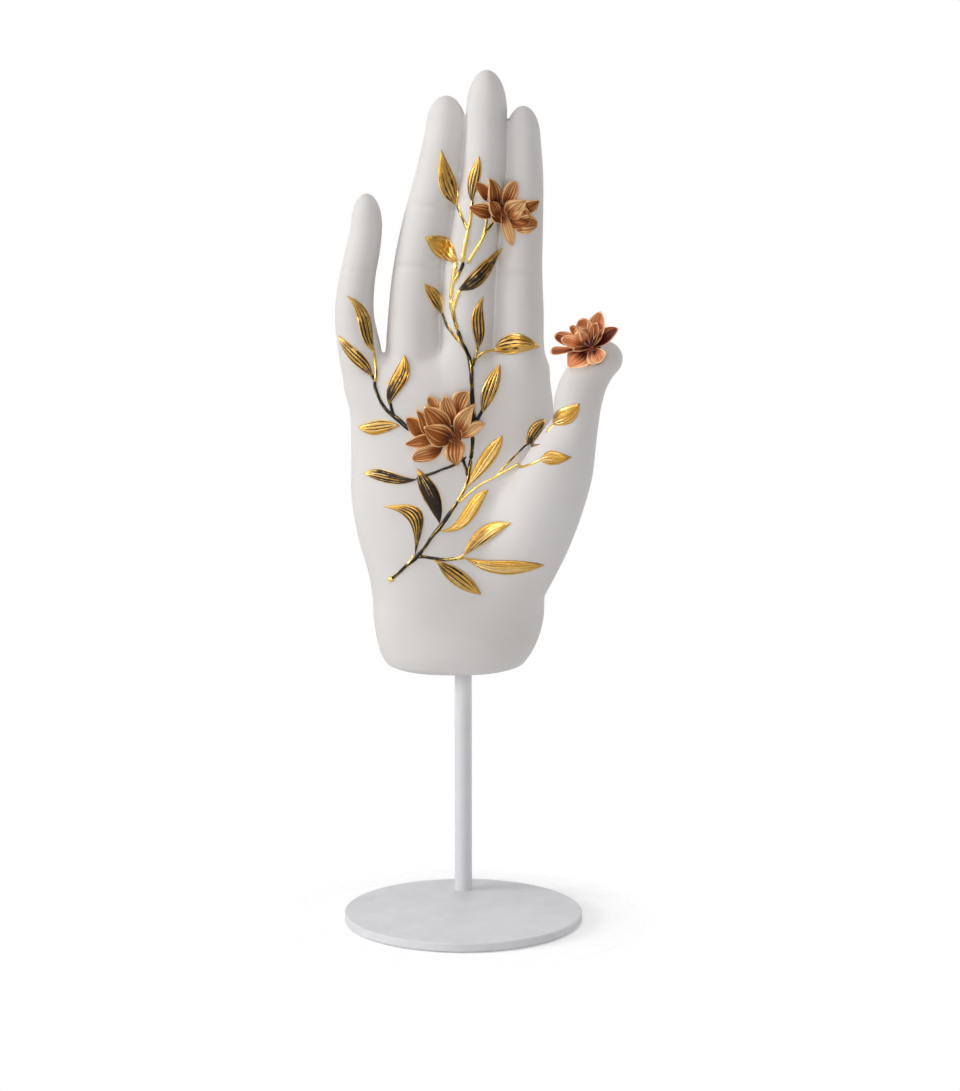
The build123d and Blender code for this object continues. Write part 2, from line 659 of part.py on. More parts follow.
# Thumb flower: two bowls cut to petals, a bud between them and a calyx that seats them on the thumb
seat_plane, seat_half, seat_deep = digits["thumb"].row(thumb_ring_row)
flower_hub = seat_plane.origin + flower_axis * (seat_deep + flower_rise)
flower_plane = Plane(flower_hub, x_dir=Vector(1, 0, 0) - flower_axis * flower_axis.X, z_dir=flower_axis)
inner_bowl_floor = petal_thickness + bowl_spacing
bud_radius = bud_diameter / 2


def petal_star(shares, hub_radius):
    """Petals round a middle disc, as one face."""
    star = Sketch() + Circle(hub_radius)
    for angle, reach_share, half_share in shares:
        tip = Vector(thumb_flower_width / 2 * reach_share, 0).rotate(Axis.Z, angle)
        star += blade(Vector(0, 0), tip, (half_share, half_share, -half_share, -half_share))
    return star


def bowl(star, radius, floor):
    """A thin round bowl above the hub, trimmed to the outline of its petals."""
    middle = Pos(0, 0, floor + radius)
    wall = middle * Sphere(radius) - middle * Sphere(radius - petal_thickness)
    trim = Pos(0, 0, floor - petal_thickness) * extrude(star, radius)
    return flower_plane * (wall & trim)


def thumb_flower_calyx():
    stalk = Pos(0, 0, -seat_deep) * extrude(Circle(calyx_diameter / 2), seat_deep + petal_thickness)
    room = Pos(0, 0, outer_bowl_radius) * Sphere(outer_bowl_radius + seat_gap)
    return max((flower_plane * (stalk - room) - seat).solids(), key=lambda solid: solid.volume)


def thumb_flower_bud():
    hang = inner_bowl_radius - petal_thickness - bud_radius - seat_gap
    middle = Vector(0, 0, -hang).rotate(Axis.Y, bud_lean_angle).rotate(Axis.Z, bud_side_angle)
    middle += Vector(0, 0, inner_bowl_floor + inner_bowl_radius)
    return flower_plane * (Pos(middle) * Sphere(bud_radius))


nodes = {
    "base_felt": base_felt(),
    "base_plate": base_plate(),
    "base_screw": base_screw(),
    "stand_rod": stand_rod(),
    "pivot_sleeve": pivot_sleeve(),
    "socket_tube": socket_tube(),
    "socket_cap": socket_cap(),
    "wrist_plug": wrist_plug(),
    "hand_shell": hand_shell(),
    "thumb_flower_calyx": thumb_flower_calyx(),
    "thumb_flower_outer_petals": bowl(petal_star(outer_petal_shares, calyx_diameter), outer_bowl_radius, 0),
    "thumb_flower_inner_petals": bowl(petal_star(inner_petal_shares, calyx_diameter / 2), inner_bowl_radius,
                                      inner_bowl_floor),
    "thumb_flower_bud": thumb_flower_bud(),
}
nodes.update(ornament())

for name, shape in nodes.items():
    if isinstance(shape, list):
        shape = Compound(children=shape)
    export_step(shape, f"parts/{name}.step")
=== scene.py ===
import math

import bpy
import numpy as np
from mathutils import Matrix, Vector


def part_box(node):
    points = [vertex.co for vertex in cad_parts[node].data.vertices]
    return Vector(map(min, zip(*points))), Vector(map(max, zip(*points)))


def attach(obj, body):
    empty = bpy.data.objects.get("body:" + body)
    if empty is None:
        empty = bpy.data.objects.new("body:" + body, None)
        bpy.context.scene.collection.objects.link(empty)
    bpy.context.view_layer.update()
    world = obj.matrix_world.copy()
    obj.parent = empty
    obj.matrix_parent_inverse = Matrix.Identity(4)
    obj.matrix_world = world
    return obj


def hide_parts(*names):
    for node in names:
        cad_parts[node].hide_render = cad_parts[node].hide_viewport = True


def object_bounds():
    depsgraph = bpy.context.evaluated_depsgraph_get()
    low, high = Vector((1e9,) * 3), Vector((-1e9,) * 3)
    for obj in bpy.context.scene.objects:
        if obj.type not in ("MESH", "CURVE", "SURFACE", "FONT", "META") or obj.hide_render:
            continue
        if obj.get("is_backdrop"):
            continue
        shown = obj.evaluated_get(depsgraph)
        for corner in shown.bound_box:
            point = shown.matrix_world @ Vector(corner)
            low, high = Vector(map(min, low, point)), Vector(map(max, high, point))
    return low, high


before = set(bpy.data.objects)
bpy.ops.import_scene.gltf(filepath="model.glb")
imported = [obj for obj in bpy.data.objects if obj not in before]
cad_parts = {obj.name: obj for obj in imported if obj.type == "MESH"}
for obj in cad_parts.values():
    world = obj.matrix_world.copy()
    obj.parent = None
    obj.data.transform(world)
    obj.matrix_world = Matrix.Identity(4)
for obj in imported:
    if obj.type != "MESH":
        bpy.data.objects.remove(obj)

# A white bisque hand, palm forward, on a thin rod above a round plate. Gold leaves and copper
# blossoms lie on its palm and fingers, and one open blossom sits on the tip of the thumb.
# Shapes are worked out in millimetres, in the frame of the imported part, and become metres
# when their mesh is made.
cad_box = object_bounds()
millimetres = 1000.0


def node_box(node):
    """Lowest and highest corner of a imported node, in millimetres."""
    low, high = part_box(node)
    return np.array(low) * millimetres, np.array(high) * millimetres


# Hand
palm_width = 93.0
palm_depth = 54.0
palm_length = 151.0
shell_wall = 4.5
well_share = 1.6
palm_corner_power = 2.23
socket_setback_share = 0.675
wrist_height = node_box("hand_shell")[0][2]
rod_setback = (node_box("stand_rod")[0][1] + node_box("stand_rod")[1][1]) / 2
hand_setback = rod_setback - socket_setback_share * palm_depth
plug_bottom = node_box("wrist_plug")[0][2]
socket_top = node_box("socket_cap")[1][2]

# Palm rows: height share, then left, right, front and back shares of the width and the depth
palm_shares = [
    (0.000, -0.310, 0.225, 0.220, 0.860),
    (0.015, -0.365, 0.285, 0.140, 0.925),
    (0.045, -0.405, 0.330, 0.080, 0.965),
    (0.085, -0.425, 0.365, 0.055, 0.980),
    (0.160, -0.445, 0.400, 0.060, 0.985),
    (0.230, -0.450, 0.405, 0.035, 0.965),
    (0.310, -0.470, 0.415, -0.020, 0.920),
    (0.415, -0.515, 0.430, -0.065, 0.860),
    (0.550, -0.550, 0.445, -0.055, 0.800),
    (0.695, -0.550, 0.445, -0.020, 0.735),
    (0.830, -0.555, 0.445, 0.005, 0.680),
    (0.905, -0.565, 0.420, 0.020, 0.635),
    (0.960, -0.495, 0.405, 0.060, 0.580),
    (1.000, -0.375, 0.355, 0.140, 0.500),
]

# Digit rows: shares of the length up, sideways and forward of the root, half width and half depth
# as shares of the width, and for the thumb the lean of the row in degrees
little_shares = [
    (0.000, 0.000, 0.000, 0.385, 0.365),
    (0.095, -0.025, 0.000, 0.455, 0.435),
    (0.210, -0.050, 0.000, 0.490, 0.470),
    (0.325, -0.065, 0.000, 0.505, 0.475),
    (0.460, -0.085, 0.005, 0.460, 0.440),
    (0.610, -0.075, 0.015, 0.425, 0.405),
    (0.765, -0.045, 0.020, 0.400, 0.380),
    (0.860, -0.030, 0.020, 0.365, 0.345),
]
ring_shares = [
    (0.000, 0.000, 0.000, 0.490, 0.465),
    (0.105, 0.000, 0.000, 0.495, 0.470),
    (0.240, 0.005, 0.005, 0.480, 0.455),
    (0.405, 0.020, 0.005, 0.465, 0.440),
    (0.570, 0.050, 0.010, 0.450, 0.430),
    (0.735, 0.090, 0.010, 0.425, 0.405),
    (0.885, 0.115, 0.015, 0.370, 0.355),
]
middle_shares = [
    (0.000, 0.000, 0.000, 0.490, 0.465),
    (0.095, 0.000, 0.000, 0.495, 0.470),
    (0.220, 0.005, 0.005, 0.505, 0.480),
    (0.370, 0.010, 0.010, 0.495, 0.470),
    (0.525, 0.030, 0.015, 0.460, 0.435),
    (0.675, 0.055, 0.025, 0.410, 0.390),
    (0.870, 0.065, 0.025, 0.370, 0.350),
]
index_shares = [
    (0.000, 0.000, 0.000, 0.485, 0.460),
    (0.110, 0.000, 0.000, 0.500, 0.475),
    (0.250, 0.005, 0.005, 0.480, 0.455),
    (0.420, 0.005, 0.005, 0.450, 0.430),
    (0.590, 0.015, 0.010, 0.410, 0.390),
    (0.765, 0.020, 0.015, 0.380, 0.360),
    (0.880, 0.020, 0.015, 0.335, 0.320),
]
thumb_shares = [
    (0.000, 0.000, 0.000, 0.240, 0.185, 0),
    (0.075, 0.025, 0.035, 0.405, 0.280, 0),
    (0.180, 0.060, 0.080, 0.480, 0.335, 0),
    (0.285, 0.095, 0.120, 0.500, 0.365, 0),
    (0.380, 0.125, 0.145, 0.500, 0.370, 0),
    (0.485, 0.160, 0.170, 0.465, 0.345, 0),
    (0.590, 0.198, 0.200, 0.365, 0.315, 2),
    (0.675, 0.232, 0.215, 0.275, 0.285, 6),
    (0.750, 0.240, 0.225, 0.285, 0.275, 14),
    (0.830, 0.270, 0.230, 0.265, 0.260, 34),
    (0.880, 0.310, 0.235, 0.230, 0.235, 50),
    (0.905, 0.345, 0.235, 0.195, 0.205, 56),
]

# Digits: shares of the root across, back and up on the palm, length, width, rows, tip share,
# and the heights of the creases on the palm side and of the nail's foot as shares of the length
digit_table = {
    "little": ((-0.435, 0.315, 0.790), 104.5, 19.5, little_shares, 0.140, (0.470, 0.667), 0.84),
    "ring": ((-0.245, 0.315, 0.895), 133.0, 25.0, ring_shares, 0.115, (0.425, 0.631), 0.85),
    "middle": ((0.015, 0.285, 0.895), 145.0, 25.0, middle_shares, 0.130, (0.406, 0.599), 0.85),
    "index": ((0.265, 0.305, 0.895), 128.5, 24.0, index_shares, 0.120, (0.140, 0.414, 0.640),
              0.85),
    "thumb": ((0.215, 0.315, 0.220), 134.0, 37.5, thumb_shares, 0.055, (), 0.0),
}

# How widely the forms of the hand run into each other, in millimetres
finger_seam = 0.8
root_blends = {"little": 4.0, "ring": 3.0, "middle": 9.0, "index": 8.0}
# Root blends are weighed by nearness: limits of the distance, and over how much of it weight falls
weight_limits = (-9, 60)
weight_reach = 3
# The thumb's blends at its ball and at the web, and how far up the palm one turns to the other
thumb_blends = (9.0, 3.0)
web_shares = (0.50, 0.72)
wrist_round = 3.0
palm_top_round = 6.0

# Soft swellings and hollows: place across, back and up in millimetres, reach on each axis, height
soft_forms = [
    (-24.0, -2.0, 196.0, 20.0, 16.0, 40.0, 1.3),
    (2.0, -4.0, 214.0, 20.0, 14.0, 32.0, -1.4),
    (16.0, -4.0, 252.0, 26.0, 14.0, 12.0, 0.7),
]
# Creases of the fingers
crease_depth = 0.75
crease_width = 1.3
# The nail: its rise, half width and half length as shares, and how far up it its middle lies
nail_rise = 0.45
nail_shares = (0.66, 0.075)
nail_middle_share = 0.45
# Where the nail's rim fades, and from how far back on the finger it shows
nail_rim = (0.75, 1.15)
nail_back = (0.2, 0.4)
# How softly the tip starts, as a share of the length
tip_start_share = 0.06
# The grid of the hand's skin: its pitch, and the steps and reach of the coarse grid tried first
net_pitch = 1.15
coarse_step = 4
coarse_reach = 11.0
# Steps over which a field's slope is taken on the skin and where it is bridged, and the least
# squared slope that a point is drawn along
skin_slope_step = 0.15
bridge_slope_step = 0.4
least_steepness = 0.25


def smooth_rows(rows, samples=400):
    """A table filled in between its rows. Each column is a cubic Hermite curve through the rows,
    whose slope at a row comes from the rows on both sides of it."""
    rows = np.array(rows, float)
    knots = rows[:, 0]
    slopes = np.gradient(rows, knots, axis=0)
    at = np.linspace(knots[0], knots[-1], samples)
    low = np.clip(np.searchsorted(knots, at, side="right") - 1, 0, len(knots) - 2)
    span = (knots[low + 1] - knots[low])[:, None]
    part = (at - knots[low])[:, None] / span
    rise = rows[low] * (1 + 2 * part) * (1 - part) ** 2 + rows[low + 1] * part**2 * (3 - 2 * part)
    return rise + span * part * (1 - part) * (slopes[low] * (1 - part) - slopes[low + 1] * part)


def smooth_min(first, second, width):
    """The smaller of two distances, rounded by a parabola where they differ by less than width."""
    near = np.maximum(width - np.abs(first - second), 0) / width
    return np.minimum(first, second) - near**2 * width / 4


def smooth_max(first, second, width):
    return -smooth_min(-first, -second, width)


def smooth_step(value, low, high):
    """A cubic step from 0 at low to 1 at high."""
    part = np.clip((value - low) / (high - low), 0, 1)
    return part**2 * (3 - 2 * part)


def oval_distance(*pairs):
    """Nearly the distance to an ellipsoid: k (k - 1) / g, where k is the length of the offset
    divided by the radii, and g its length divided by their squares."""
    k = np.sqrt(sum((offset / radius) ** 2 for offset, radius in pairs))
    g = np.sqrt(sum((offset / radius**2) ** 2 for offset, radius in pairs)) + 1e-9
    return k * (k - 1) / g


class Finger:
    """A finger as a field: at each height an ellipse, and half an ellipsoid above the last row."""

    def __init__(self, root_shares, length, width, rows, tip_share, creases, nail):
        across, back, up = root_shares
        self.root = np.array([across * palm_width, hand_setback + back * palm_depth,
                              wrist_height + up * palm_length])
        self.length = length
        self.width = width
        self.rows = np.array(rows, float)
        self.table = smooth_rows(rows)
        self.tip = tip_share * length
        self.creases = creases
        self.nail = nail

    def spot(self, across_share, up_share):
        """X and Z of a place beside the centre line."""
        side = np.interp(up_share, self.rows[:, 0], self.rows[:, 1])
        x = self.root[0] + side * self.length + across_share * self.width
        return np.array([x, self.root[2] + up_share * self.length])

    def distance(self, p):
        up = (p[:, 2] - self.root[2]) / self.length
        side, forward, half, deep = (
            np.interp(up, self.table[:, 0], self.table[:, column]) for column in range(1, 5)
        )
        x = p[:, 0] - self.root[0] - side * self.length
        y = p[:, 1] - self.root[1] + forward * self.length
        half = half * self.width
        deep = deep * self.width
        past_last = up - self.table[-1, 0]
        above = self.length * smooth_max(past_last, np.zeros_like(up), tip_start_share)
        below = np.maximum(-up, 0) * self.length
        skin = oval_distance((x, half), (y, deep), (above, self.tip), (below, self.tip))
        palm_side = np.clip(-y / deep, 0, 1)
        for crease in self.creases:
            off = (up - crease) * self.length / crease_width
            skin = skin + crease_depth * palm_side * np.exp(-(off**2))
        if self.nail:
            skin = skin - nail_rise * self.nail_patch(x / half, y / deep, up)
        return skin

    def nail_patch(self, across, back, up):
        """1 on the nail and 0 off it: inside a rounded frame on the back of the tip."""
        middle = self.nail + (1 - self.nail) * nail_middle_share
        wide, tall = nail_shares
        reach = (np.abs(across) / wide) ** 4 + (np.abs(up - middle) / tall) ** 4
        return (1 - smooth_step(reach, *nail_rim)) * smooth_step(back, *nail_back)


class Thumb(Finger):
    """The thumb as a field: many flat ellipsoids, threaded on its bent centre line like beads."""

    bead_count = 80
    bead_thickness = 9.0
    reach_share = 0.7

    def __init__(self, *values):
        super().__init__(*values)
        beads = self.table[:: len(self.table) // self.bead_count]
        lean = np.radians(beads[:, 5])
        offsets = np.stack([beads[:, 1], -beads[:, 2], beads[:, 0]], 1) * self.length
        self.centres = self.root + offsets
        self.across = np.stack([np.cos(lean), 0 * lean, -np.sin(lean)], 1)
        self.along = np.stack([np.sin(lean), 0 * lean, np.cos(lean)], 1)
        self.halves = beads[:, 3] * self.width
        self.deeps = beads[:, 4] * self.width
        self.reach = self.width * self.reach_share
        self.low = self.centres.min(0) - self.reach
        self.high = self.centres.max(0) + self.reach

    def distance(self, p):
        skin = np.full(len(p), self.reach / 2)
        near = np.all((p > self.low) & (p < self.high), axis=1)
        q = p[near]
        best = skin[near]
        for number, centre in enumerate(self.centres):
            offset = q - centre
            thick = self.tip if number == len(self.centres) - 1 else self.bead_thickness
            bead = oval_distance(
                (offset @ self.across[number], self.halves[number]),
                (offset[:, 1], self.deeps[number]),
                (offset @ self.along[number], thick),
            )
            best = np.minimum(best, bead)
        skin[near] = best
        return skin


digits = {name: (Thumb if name == "thumb" else Finger)(*row) for name, row in digit_table.items()}
palm_table = smooth_rows(palm_shares)


def palm_distance(p):
    """Distance to the palm: at each height a superellipse with its own middle and reach."""
    up = (p[:, 2] - wrist_height) / palm_length
    left, right, front, back = (
        np.interp(up, palm_table[:, 0], palm_table[:, column]) for column in range(1, 5)
    )
    half_x = (right - left) / 2 * palm_width
    half_y = (back - front) / 2 * palm_depth
    x = np.abs(p[:, 0] - (left + right) / 2 * palm_width) / half_x + 1e-6
    y = np.abs(p[:, 1] - hand_setback - (front + back) / 2 * palm_depth) / half_y + 1e-6
    power = palm_corner_power
    q = (x**power + y**power) ** (1 / power)
    slope = np.hypot((x / q) ** (power - 1) / half_x, (y / q) ** (power - 1) / half_y)
    return (q - 1) / slope


def hand_distance(p, blend=0.0, with_thumb=True):
    """Distance to the skin of the hand: palm, fingers and thumb run into each other by smooth
    unions, which blend widens by that many millimetres, then soft forms raise or sink it. How
    widely the palm runs into the fingers is a mean over them that favours the nearest, and the
    thumb runs into it widely at its ball and narrowly at the web."""
    side = palm_distance(p)
    skin = smooth_max(side, p[:, 2] - wrist_height - palm_length, palm_top_round)
    fingers = None
    weights = 0
    widths = 0
    for name, root_blend in root_blends.items():
        finger = digits[name].distance(p)
        weight = np.exp(-np.clip(finger, *weight_limits) / weight_reach)
        weights = weights + weight
        widths = widths + weight * root_blend
        fingers = finger if fingers is None else smooth_min(fingers, finger, finger_seam + blend)
    skin = smooth_min(skin, fingers, widths / weights + blend)
    if with_thumb:
        web = smooth_step((p[:, 2] - wrist_height) / palm_length, *web_shares)
        thumb_blend = thumb_blends[0] + (thumb_blends[1] - thumb_blends[0]) * web
        skin = smooth_min(skin, digits["thumb"].distance(p), thumb_blend + blend)
    for x, y, z, wide, deep, tall, height in soft_forms:
        off = (p - (x, y, z)) / (wide, deep, tall)
        skin = skin - height * np.exp(-(off**2).sum(1))
    return smooth_max(skin, wrist_height - p[:, 2], wrist_round)


def cast_distance(p):
    """Distance to the cast hand: the hand less the wrist's recess and the well for the rod."""
    recess = np.maximum(palm_distance(p) + shell_wall, p[:, 2] - plug_bottom - shell_wall)
    well = np.hypot(p[:, 0], p[:, 1] - rod_setback) - shell_wall * well_share
    well = np.maximum(well, p[:, 2] - socket_top)
    return np.maximum(hand_distance(p), -np.minimum(recess, well))


def field_slope(field, p, step):
    """Slope of a field by central differences."""
    slope = np.empty_like(p)
    for axis in range(3):
        shift = np.zeros(3)
        shift[axis] = step
        slope[:, axis] = field(p + shift) - field(p - shift)
    return slope / (2 * step)


def surface_net(values, low, pitch):
    """Closed skin of a field on a grid. Each cell that the zero level crosses gets one vertex, the
    mean of the crossings on its edges, and each crossed edge one quad from its four cells."""
    inside = values < 0
    cells = tuple(size - 1 for size in values.shape)
    total = np.zeros(cells + (3,))
    count = np.zeros(cells)
    crossings = []
    for axis in range(3):
        first = np.moveaxis(values, axis, 0)[:-1]
        second = np.moveaxis(values, axis, 0)[1:]
        crossed = np.moveaxis(inside, axis, 0)[:-1] != np.moveaxis(inside, axis, 0)[1:]
        part = np.where(crossed, first / np.where(crossed, first - second, 1), 0)
        crossed = np.moveaxis(crossed, 0, axis)
        part = np.moveaxis(part, 0, axis)
        crossings.append(crossed)
        others = [other for other in range(3) if other != axis]
        for corner in ((0, 0), (0, 1), (1, 0), (1, 1)):
            pick = [slice(None)] * 3
            for other, offset in zip(others, corner):
                pick[other] = slice(offset, offset + cells[other])
            here = crossed[tuple(pick)]
            total[..., axis] += part[tuple(pick)]
            for other, offset in zip(others, corner):
                total[..., other] += offset * here
            count += here
    used = count > 0
    numbers = np.full(cells, -1)
    numbers[used] = np.arange(used.sum())
    corner_place = np.argwhere(used)
    vertices = low + (corner_place + total[used] / count[used][:, None]) * pitch
    faces = []
    for axis in range(3):
        u, v = (axis + 1) % 3, (axis + 2) % 3
        place = np.argwhere(crossings[axis])
        place = place[(place[:, u] > 0) & (place[:, v] > 0)]
        step_u, step_v = np.eye(3, dtype=int)[u], np.eye(3, dtype=int)[v]
        around = [place - step_u - step_v, place - step_v, place, place - step_u]
        quads = np.stack([numbers[tuple(cell.T)] for cell in around], 1)
        outwards = inside[tuple(place.T)]
        quads[~outwards] = quads[~outwards][:, ::-1]
        faces.append(quads)
    return vertices, np.concatenate(faces)


def cast_hand():
    """Skin of the cast hand: a surface net of its field, drawn onto the zero level by two steps
    along the slope. The field is first tried on a coarse grid, and filled in near the skin."""
    low, high = np.array([list(corner) for corner in cad_box]) * millimetres
    low[2] = wrist_height
    low -= 2 * net_pitch
    high += 2 * net_pitch
    axes = [np.arange(low[axis], high[axis], net_pitch) for axis in range(3)]
    grid = np.stack(np.meshgrid(*axes, indexing="ij"), -1)
    coarse = grid[::coarse_step, ::coarse_step, ::coarse_step]
    values = cast_distance(coarse.reshape(-1, 3)).reshape(coarse.shape[:3])
    for axis in range(3):
        values = np.repeat(values, coarse_step, axis=axis)
        values = values.take(np.arange(grid.shape[axis]), axis=axis)
    near = np.abs(values) < coarse_reach
    values[near] = cast_distance(grid[near])
    vertices, faces = surface_net(values, low, net_pitch)
    for step in range(2):
        slope = field_slope(cast_distance, vertices, skin_slope_step)
        off = cast_distance(vertices) / np.maximum((slope**2).sum(1), least_steepness)
        vertices -= slope * np.clip(off, -net_pitch / 2, net_pitch / 2)[:, None]
    return vertices, faces


# Meshes
def placed(name, data):
    """An object with its data, in the scene."""
    holder = bpy.data.objects.new(name, data)
    bpy.context.scene.collection.objects.link(holder)
    return holder


def add_piece(name, node, slot, vertices, faces, marks=None):
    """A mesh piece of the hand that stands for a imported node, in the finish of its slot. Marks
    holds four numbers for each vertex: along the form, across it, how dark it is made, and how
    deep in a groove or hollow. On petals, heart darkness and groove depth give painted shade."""
    mesh = bpy.data.meshes.new(name)
    places = np.asarray(vertices) / millimetres
    mesh.from_pydata(places.tolist(), [], [list(face) for face in faces])
    mesh.polygons.foreach_set("use_smooth", np.ones(len(mesh.polygons), bool))
    if marks is not None:
        place = mesh.attributes.new("place", "FLOAT_VECTOR", "POINT")
        place.data.foreach_set("vector", marks[:, :3].ravel())
        groove = mesh.attributes.new("groove", "FLOAT", "POINT")
        groove.data.foreach_set("value", marks[:, 3].copy())
    mesh.materials.append(finishes[slot])
    mesh.validate()
    piece = placed(name, mesh)
    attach(piece, "hand")
    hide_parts(node)


def marks_of(along, across, darkness, groove=0.0):
    """The four marks of each point of a grid, side by side."""
    shape = np.broadcast_shapes(np.shape(along), np.shape(across))
    return np.stack([np.broadcast_to(np.asarray(mark, float), shape)
                     for mark in (along, across, darkness, groove)], -1)


def closed_form(points, marks):
    """Vertices, faces and marks of a closed skin. The grid's rows run from pole to pole, its
    columns close on themselves, and each pole row becomes one vertex."""
    rows, columns = points.shape[:2]
    inner = np.arange((rows - 2) * columns).reshape(rows - 2, columns) + 1
    after = np.roll(inner, -1, axis=1)
    last = (rows - 2) * columns + 1
    quads = np.stack([inner[:-1], after[:-1], after[1:], inner[1:]], -1).reshape(-1, 4)
    first_fan = np.stack([0 * after[0], after[0], inner[0]], 1)
    last_fan = np.stack([0 * inner[0] + last, inner[-1], after[-1]], 1)
    faces = quads.tolist() + first_fan.tolist() + last_fan.tolist()

    def merged(grid):
        return np.concatenate([grid[0, :1], grid[1:-1].reshape(-1, grid.shape[-1]), grid[-1, :1]])

    return merged(points), faces, merged(marks)


def joined(forms):
    """Several closed skins as one set of vertices, faces and marks."""
    vertices, faces, marks = [], [], []
    count = 0
    for form_vertices, form_faces, form_marks in forms:
        faces += [[count + number for number in face] for face in form_faces]
        vertices.append(form_vertices)
        marks.append(form_marks)
        count += len(form_vertices)
    return np.concatenate(vertices), faces, np.concatenate(marks)


# Ornament on the skin
leaf_rows = 64
leaf_relief = 0.95
leaf_crown_shares = (0.75, 0.35)
leaf_overrun = 0.8
vein_depth = 0.18
vein_width_share = 0.34
# Where along a leaf the veins come up and where they run out
vein_fade_shares = ((0.04, 0.20), (0.72, 0.97))
# How far the underside lies below the skin, and a tucked leaf above it
sink = 0.5
# Where the rounded edge is thinner than this, a form ends
thin_edge = 0.02
tuck_rise = 0.6
# How widely the skin under leaves and under flowers bridges the grooves between the fingers
bridge_blend = 3.0
flower_blend = 9.0
# Lines that look for the skin: where they start, the longest step, how near is enough
front_start = -60.0
touch_stride = 12
touch_error = 0.01
touch_steps = 40


def first_touch(x, z, blend, with_thumb):
    """Where lines from the front along +Y first touch the skin, and its normal there. Each step
    goes on by the distance that is left, and lines that have arrived are left out."""
    p = np.stack([x, np.full_like(x, front_start), z], 1)

    def field(q):
        return hand_distance(q, blend, with_thumb)

    moving = np.arange(len(p))
    for step in range(touch_steps):
        left = field(p[moving])
        p[moving, 1] += np.clip(left, -1, touch_stride) * 0.95
        moving = moving[np.abs(left) > touch_error]
        if not len(moving):
            break
    slope = field_slope(field, p, bridge_slope_step)
    return p, slope / np.linalg.norm(slope, axis=1, keepdims=True)


def lay(flat, lift, blend=bridge_blend, with_thumb=True):
    """Points on the skin behind the places of a flat grid, raised along the normal by lift."""
    shape = flat.shape[:2]
    skin, normal = first_touch(flat[..., 0].ravel(), flat[..., 1].ravel(), blend, with_thumb)
    return (skin + normal * lift.ravel()[:, None]).reshape(shape + (3,))


def spot(carrier, across_share, up_share):
    """A place on the palm or on a digit, as X and Z."""
    if carrier == "palm":
        return np.array([across_share * palm_width, wrist_height + up_share * palm_length])
    return digits[carrier].spot(across_share, up_share)


def bezier(points, at):
    """Cubic Bezier curve of four points, at values from 0 to 1 along it."""
    a, b, c, d = points
    at = np.asarray(at)[..., None]
    return a * (1 - at) ** 3 + 3 * b * at * (1 - at) ** 2 + 3 * c * at**2 * (1 - at) + d * at**3


def blade(base, tip, side_shares, along, across):
    """Places on a pointed oval. Each side is a cubic curve from base to tip, which stands off the
    straight line between them by a share of its length at one third of it, and by another at two
    thirds. Across runs straight from the right side at -1 to the left side at +1."""
    run = tip - base
    left = np.array([-run[1], run[0]])
    edges = []
    for near, far in (side_shares[2:4], side_shares[0:2]):
        first = base + run / 3 + left * (3 * near - 1.5 * far)
        second = base + run * 2 / 3 + left * (3 * far - 1.5 * near)
        edges.append(bezier((base, first, second, tip), along))
    part = (across[..., None] + 1) / 2
    return edges[0] * (1 - part) + edges[1] * part


# A cross section goes over the top from side to side, and back underneath
top_count = 27
under_count = 4
top_angles = np.linspace(-90, 90, top_count)
top_across = np.sin(np.radians(top_angles))
under_across = np.linspace(1, -1, under_count + 2)[1:-1]
loop_across = np.concatenate([top_across, under_across])
loop_top = np.concatenate([np.ones(top_count), np.zeros(under_count)])


def leaf_loop(rows):
    """Along, across and which part is the top, for cross sections that crowd the ends."""
    along = (1 - np.cos(np.linspace(0, np.pi, rows))) / 2
    along, across = np.meshgrid(along, loop_across, indexing="ij")
    return along, across, np.broadcast_to(loop_top, along.shape)


def rounded_edge(across, power):
    """1 over the middle, falling to 0 at the two sides."""
    return np.sqrt(np.clip(1 - np.abs(across) ** power, 0, 1))


def leaf_form(base, tip, side_shares, darkness, veins, tucked, overrun):
    """A raised leaf: flat outline laid on the skin, crowned between its sides, with a groove
    along each vein that fades towards both ends. Its base runs on by overrun under the stem. A
    tucked leaf lies on the palm alone, so that the thumb hides a part of it."""
    along, across, top = leaf_loop(leaf_rows)
    run_on = (base - tip) / np.linalg.norm(base - tip) * overrun
    flat = blade(base + run_on, tip, side_shares, along, across)
    edge = rounded_edge(across, 8) * rounded_edge(2 * along - 1, 6)
    groove = 0 * along
    for number in range(veins):
        centre = (number + 0.5) / veins * 2 - 1
        groove = groove + np.exp(-(((across - centre) / (vein_width_share / veins)) ** 2))
    come, go = vein_fade_shares
    groove = groove * smooth_step(along, *come) * (1 - smooth_step(along, *go))
    rim_share, crown_share = leaf_crown_shares
    crown = rim_share + crown_share * (1 - across**2)
    rise = leaf_relief * crown * edge - vein_depth * groove
    rise = rise + tucked * tuck_rise * edge
    lift = np.where((top > 0) & (edge > thin_edge), np.maximum(rise, 0), -sink)
    skin = lay(flat, lift, with_thumb=not tucked)
    return closed_form(skin, marks_of(along, across, darkness, groove))


def smooth_path(points, spacing):
    """Catmull-Rom curve through points, with places about spacing apart."""
    points = np.array(points)
    before, after = 2 * points[:1] - points[1:2], 2 * points[-1:] - points[-2:-1]
    padded = np.concatenate([before, points, after])
    runs = []
    for number in range(len(points) - 1):
        a, b, c, d = padded[number : number + 4]
        count = max(int(np.linalg.norm(c - b) / spacing), 3)
        t = np.linspace(0, 1, count, endpoint=False)[:, None]
        bend = 2 * a - 5 * b + 4 * c - d + t * (3 * (b - c) + d - a)
        runs.append(b + 0.5 * t * (c - a + t * bend))
    return np.concatenate(runs + [points[-1:]])


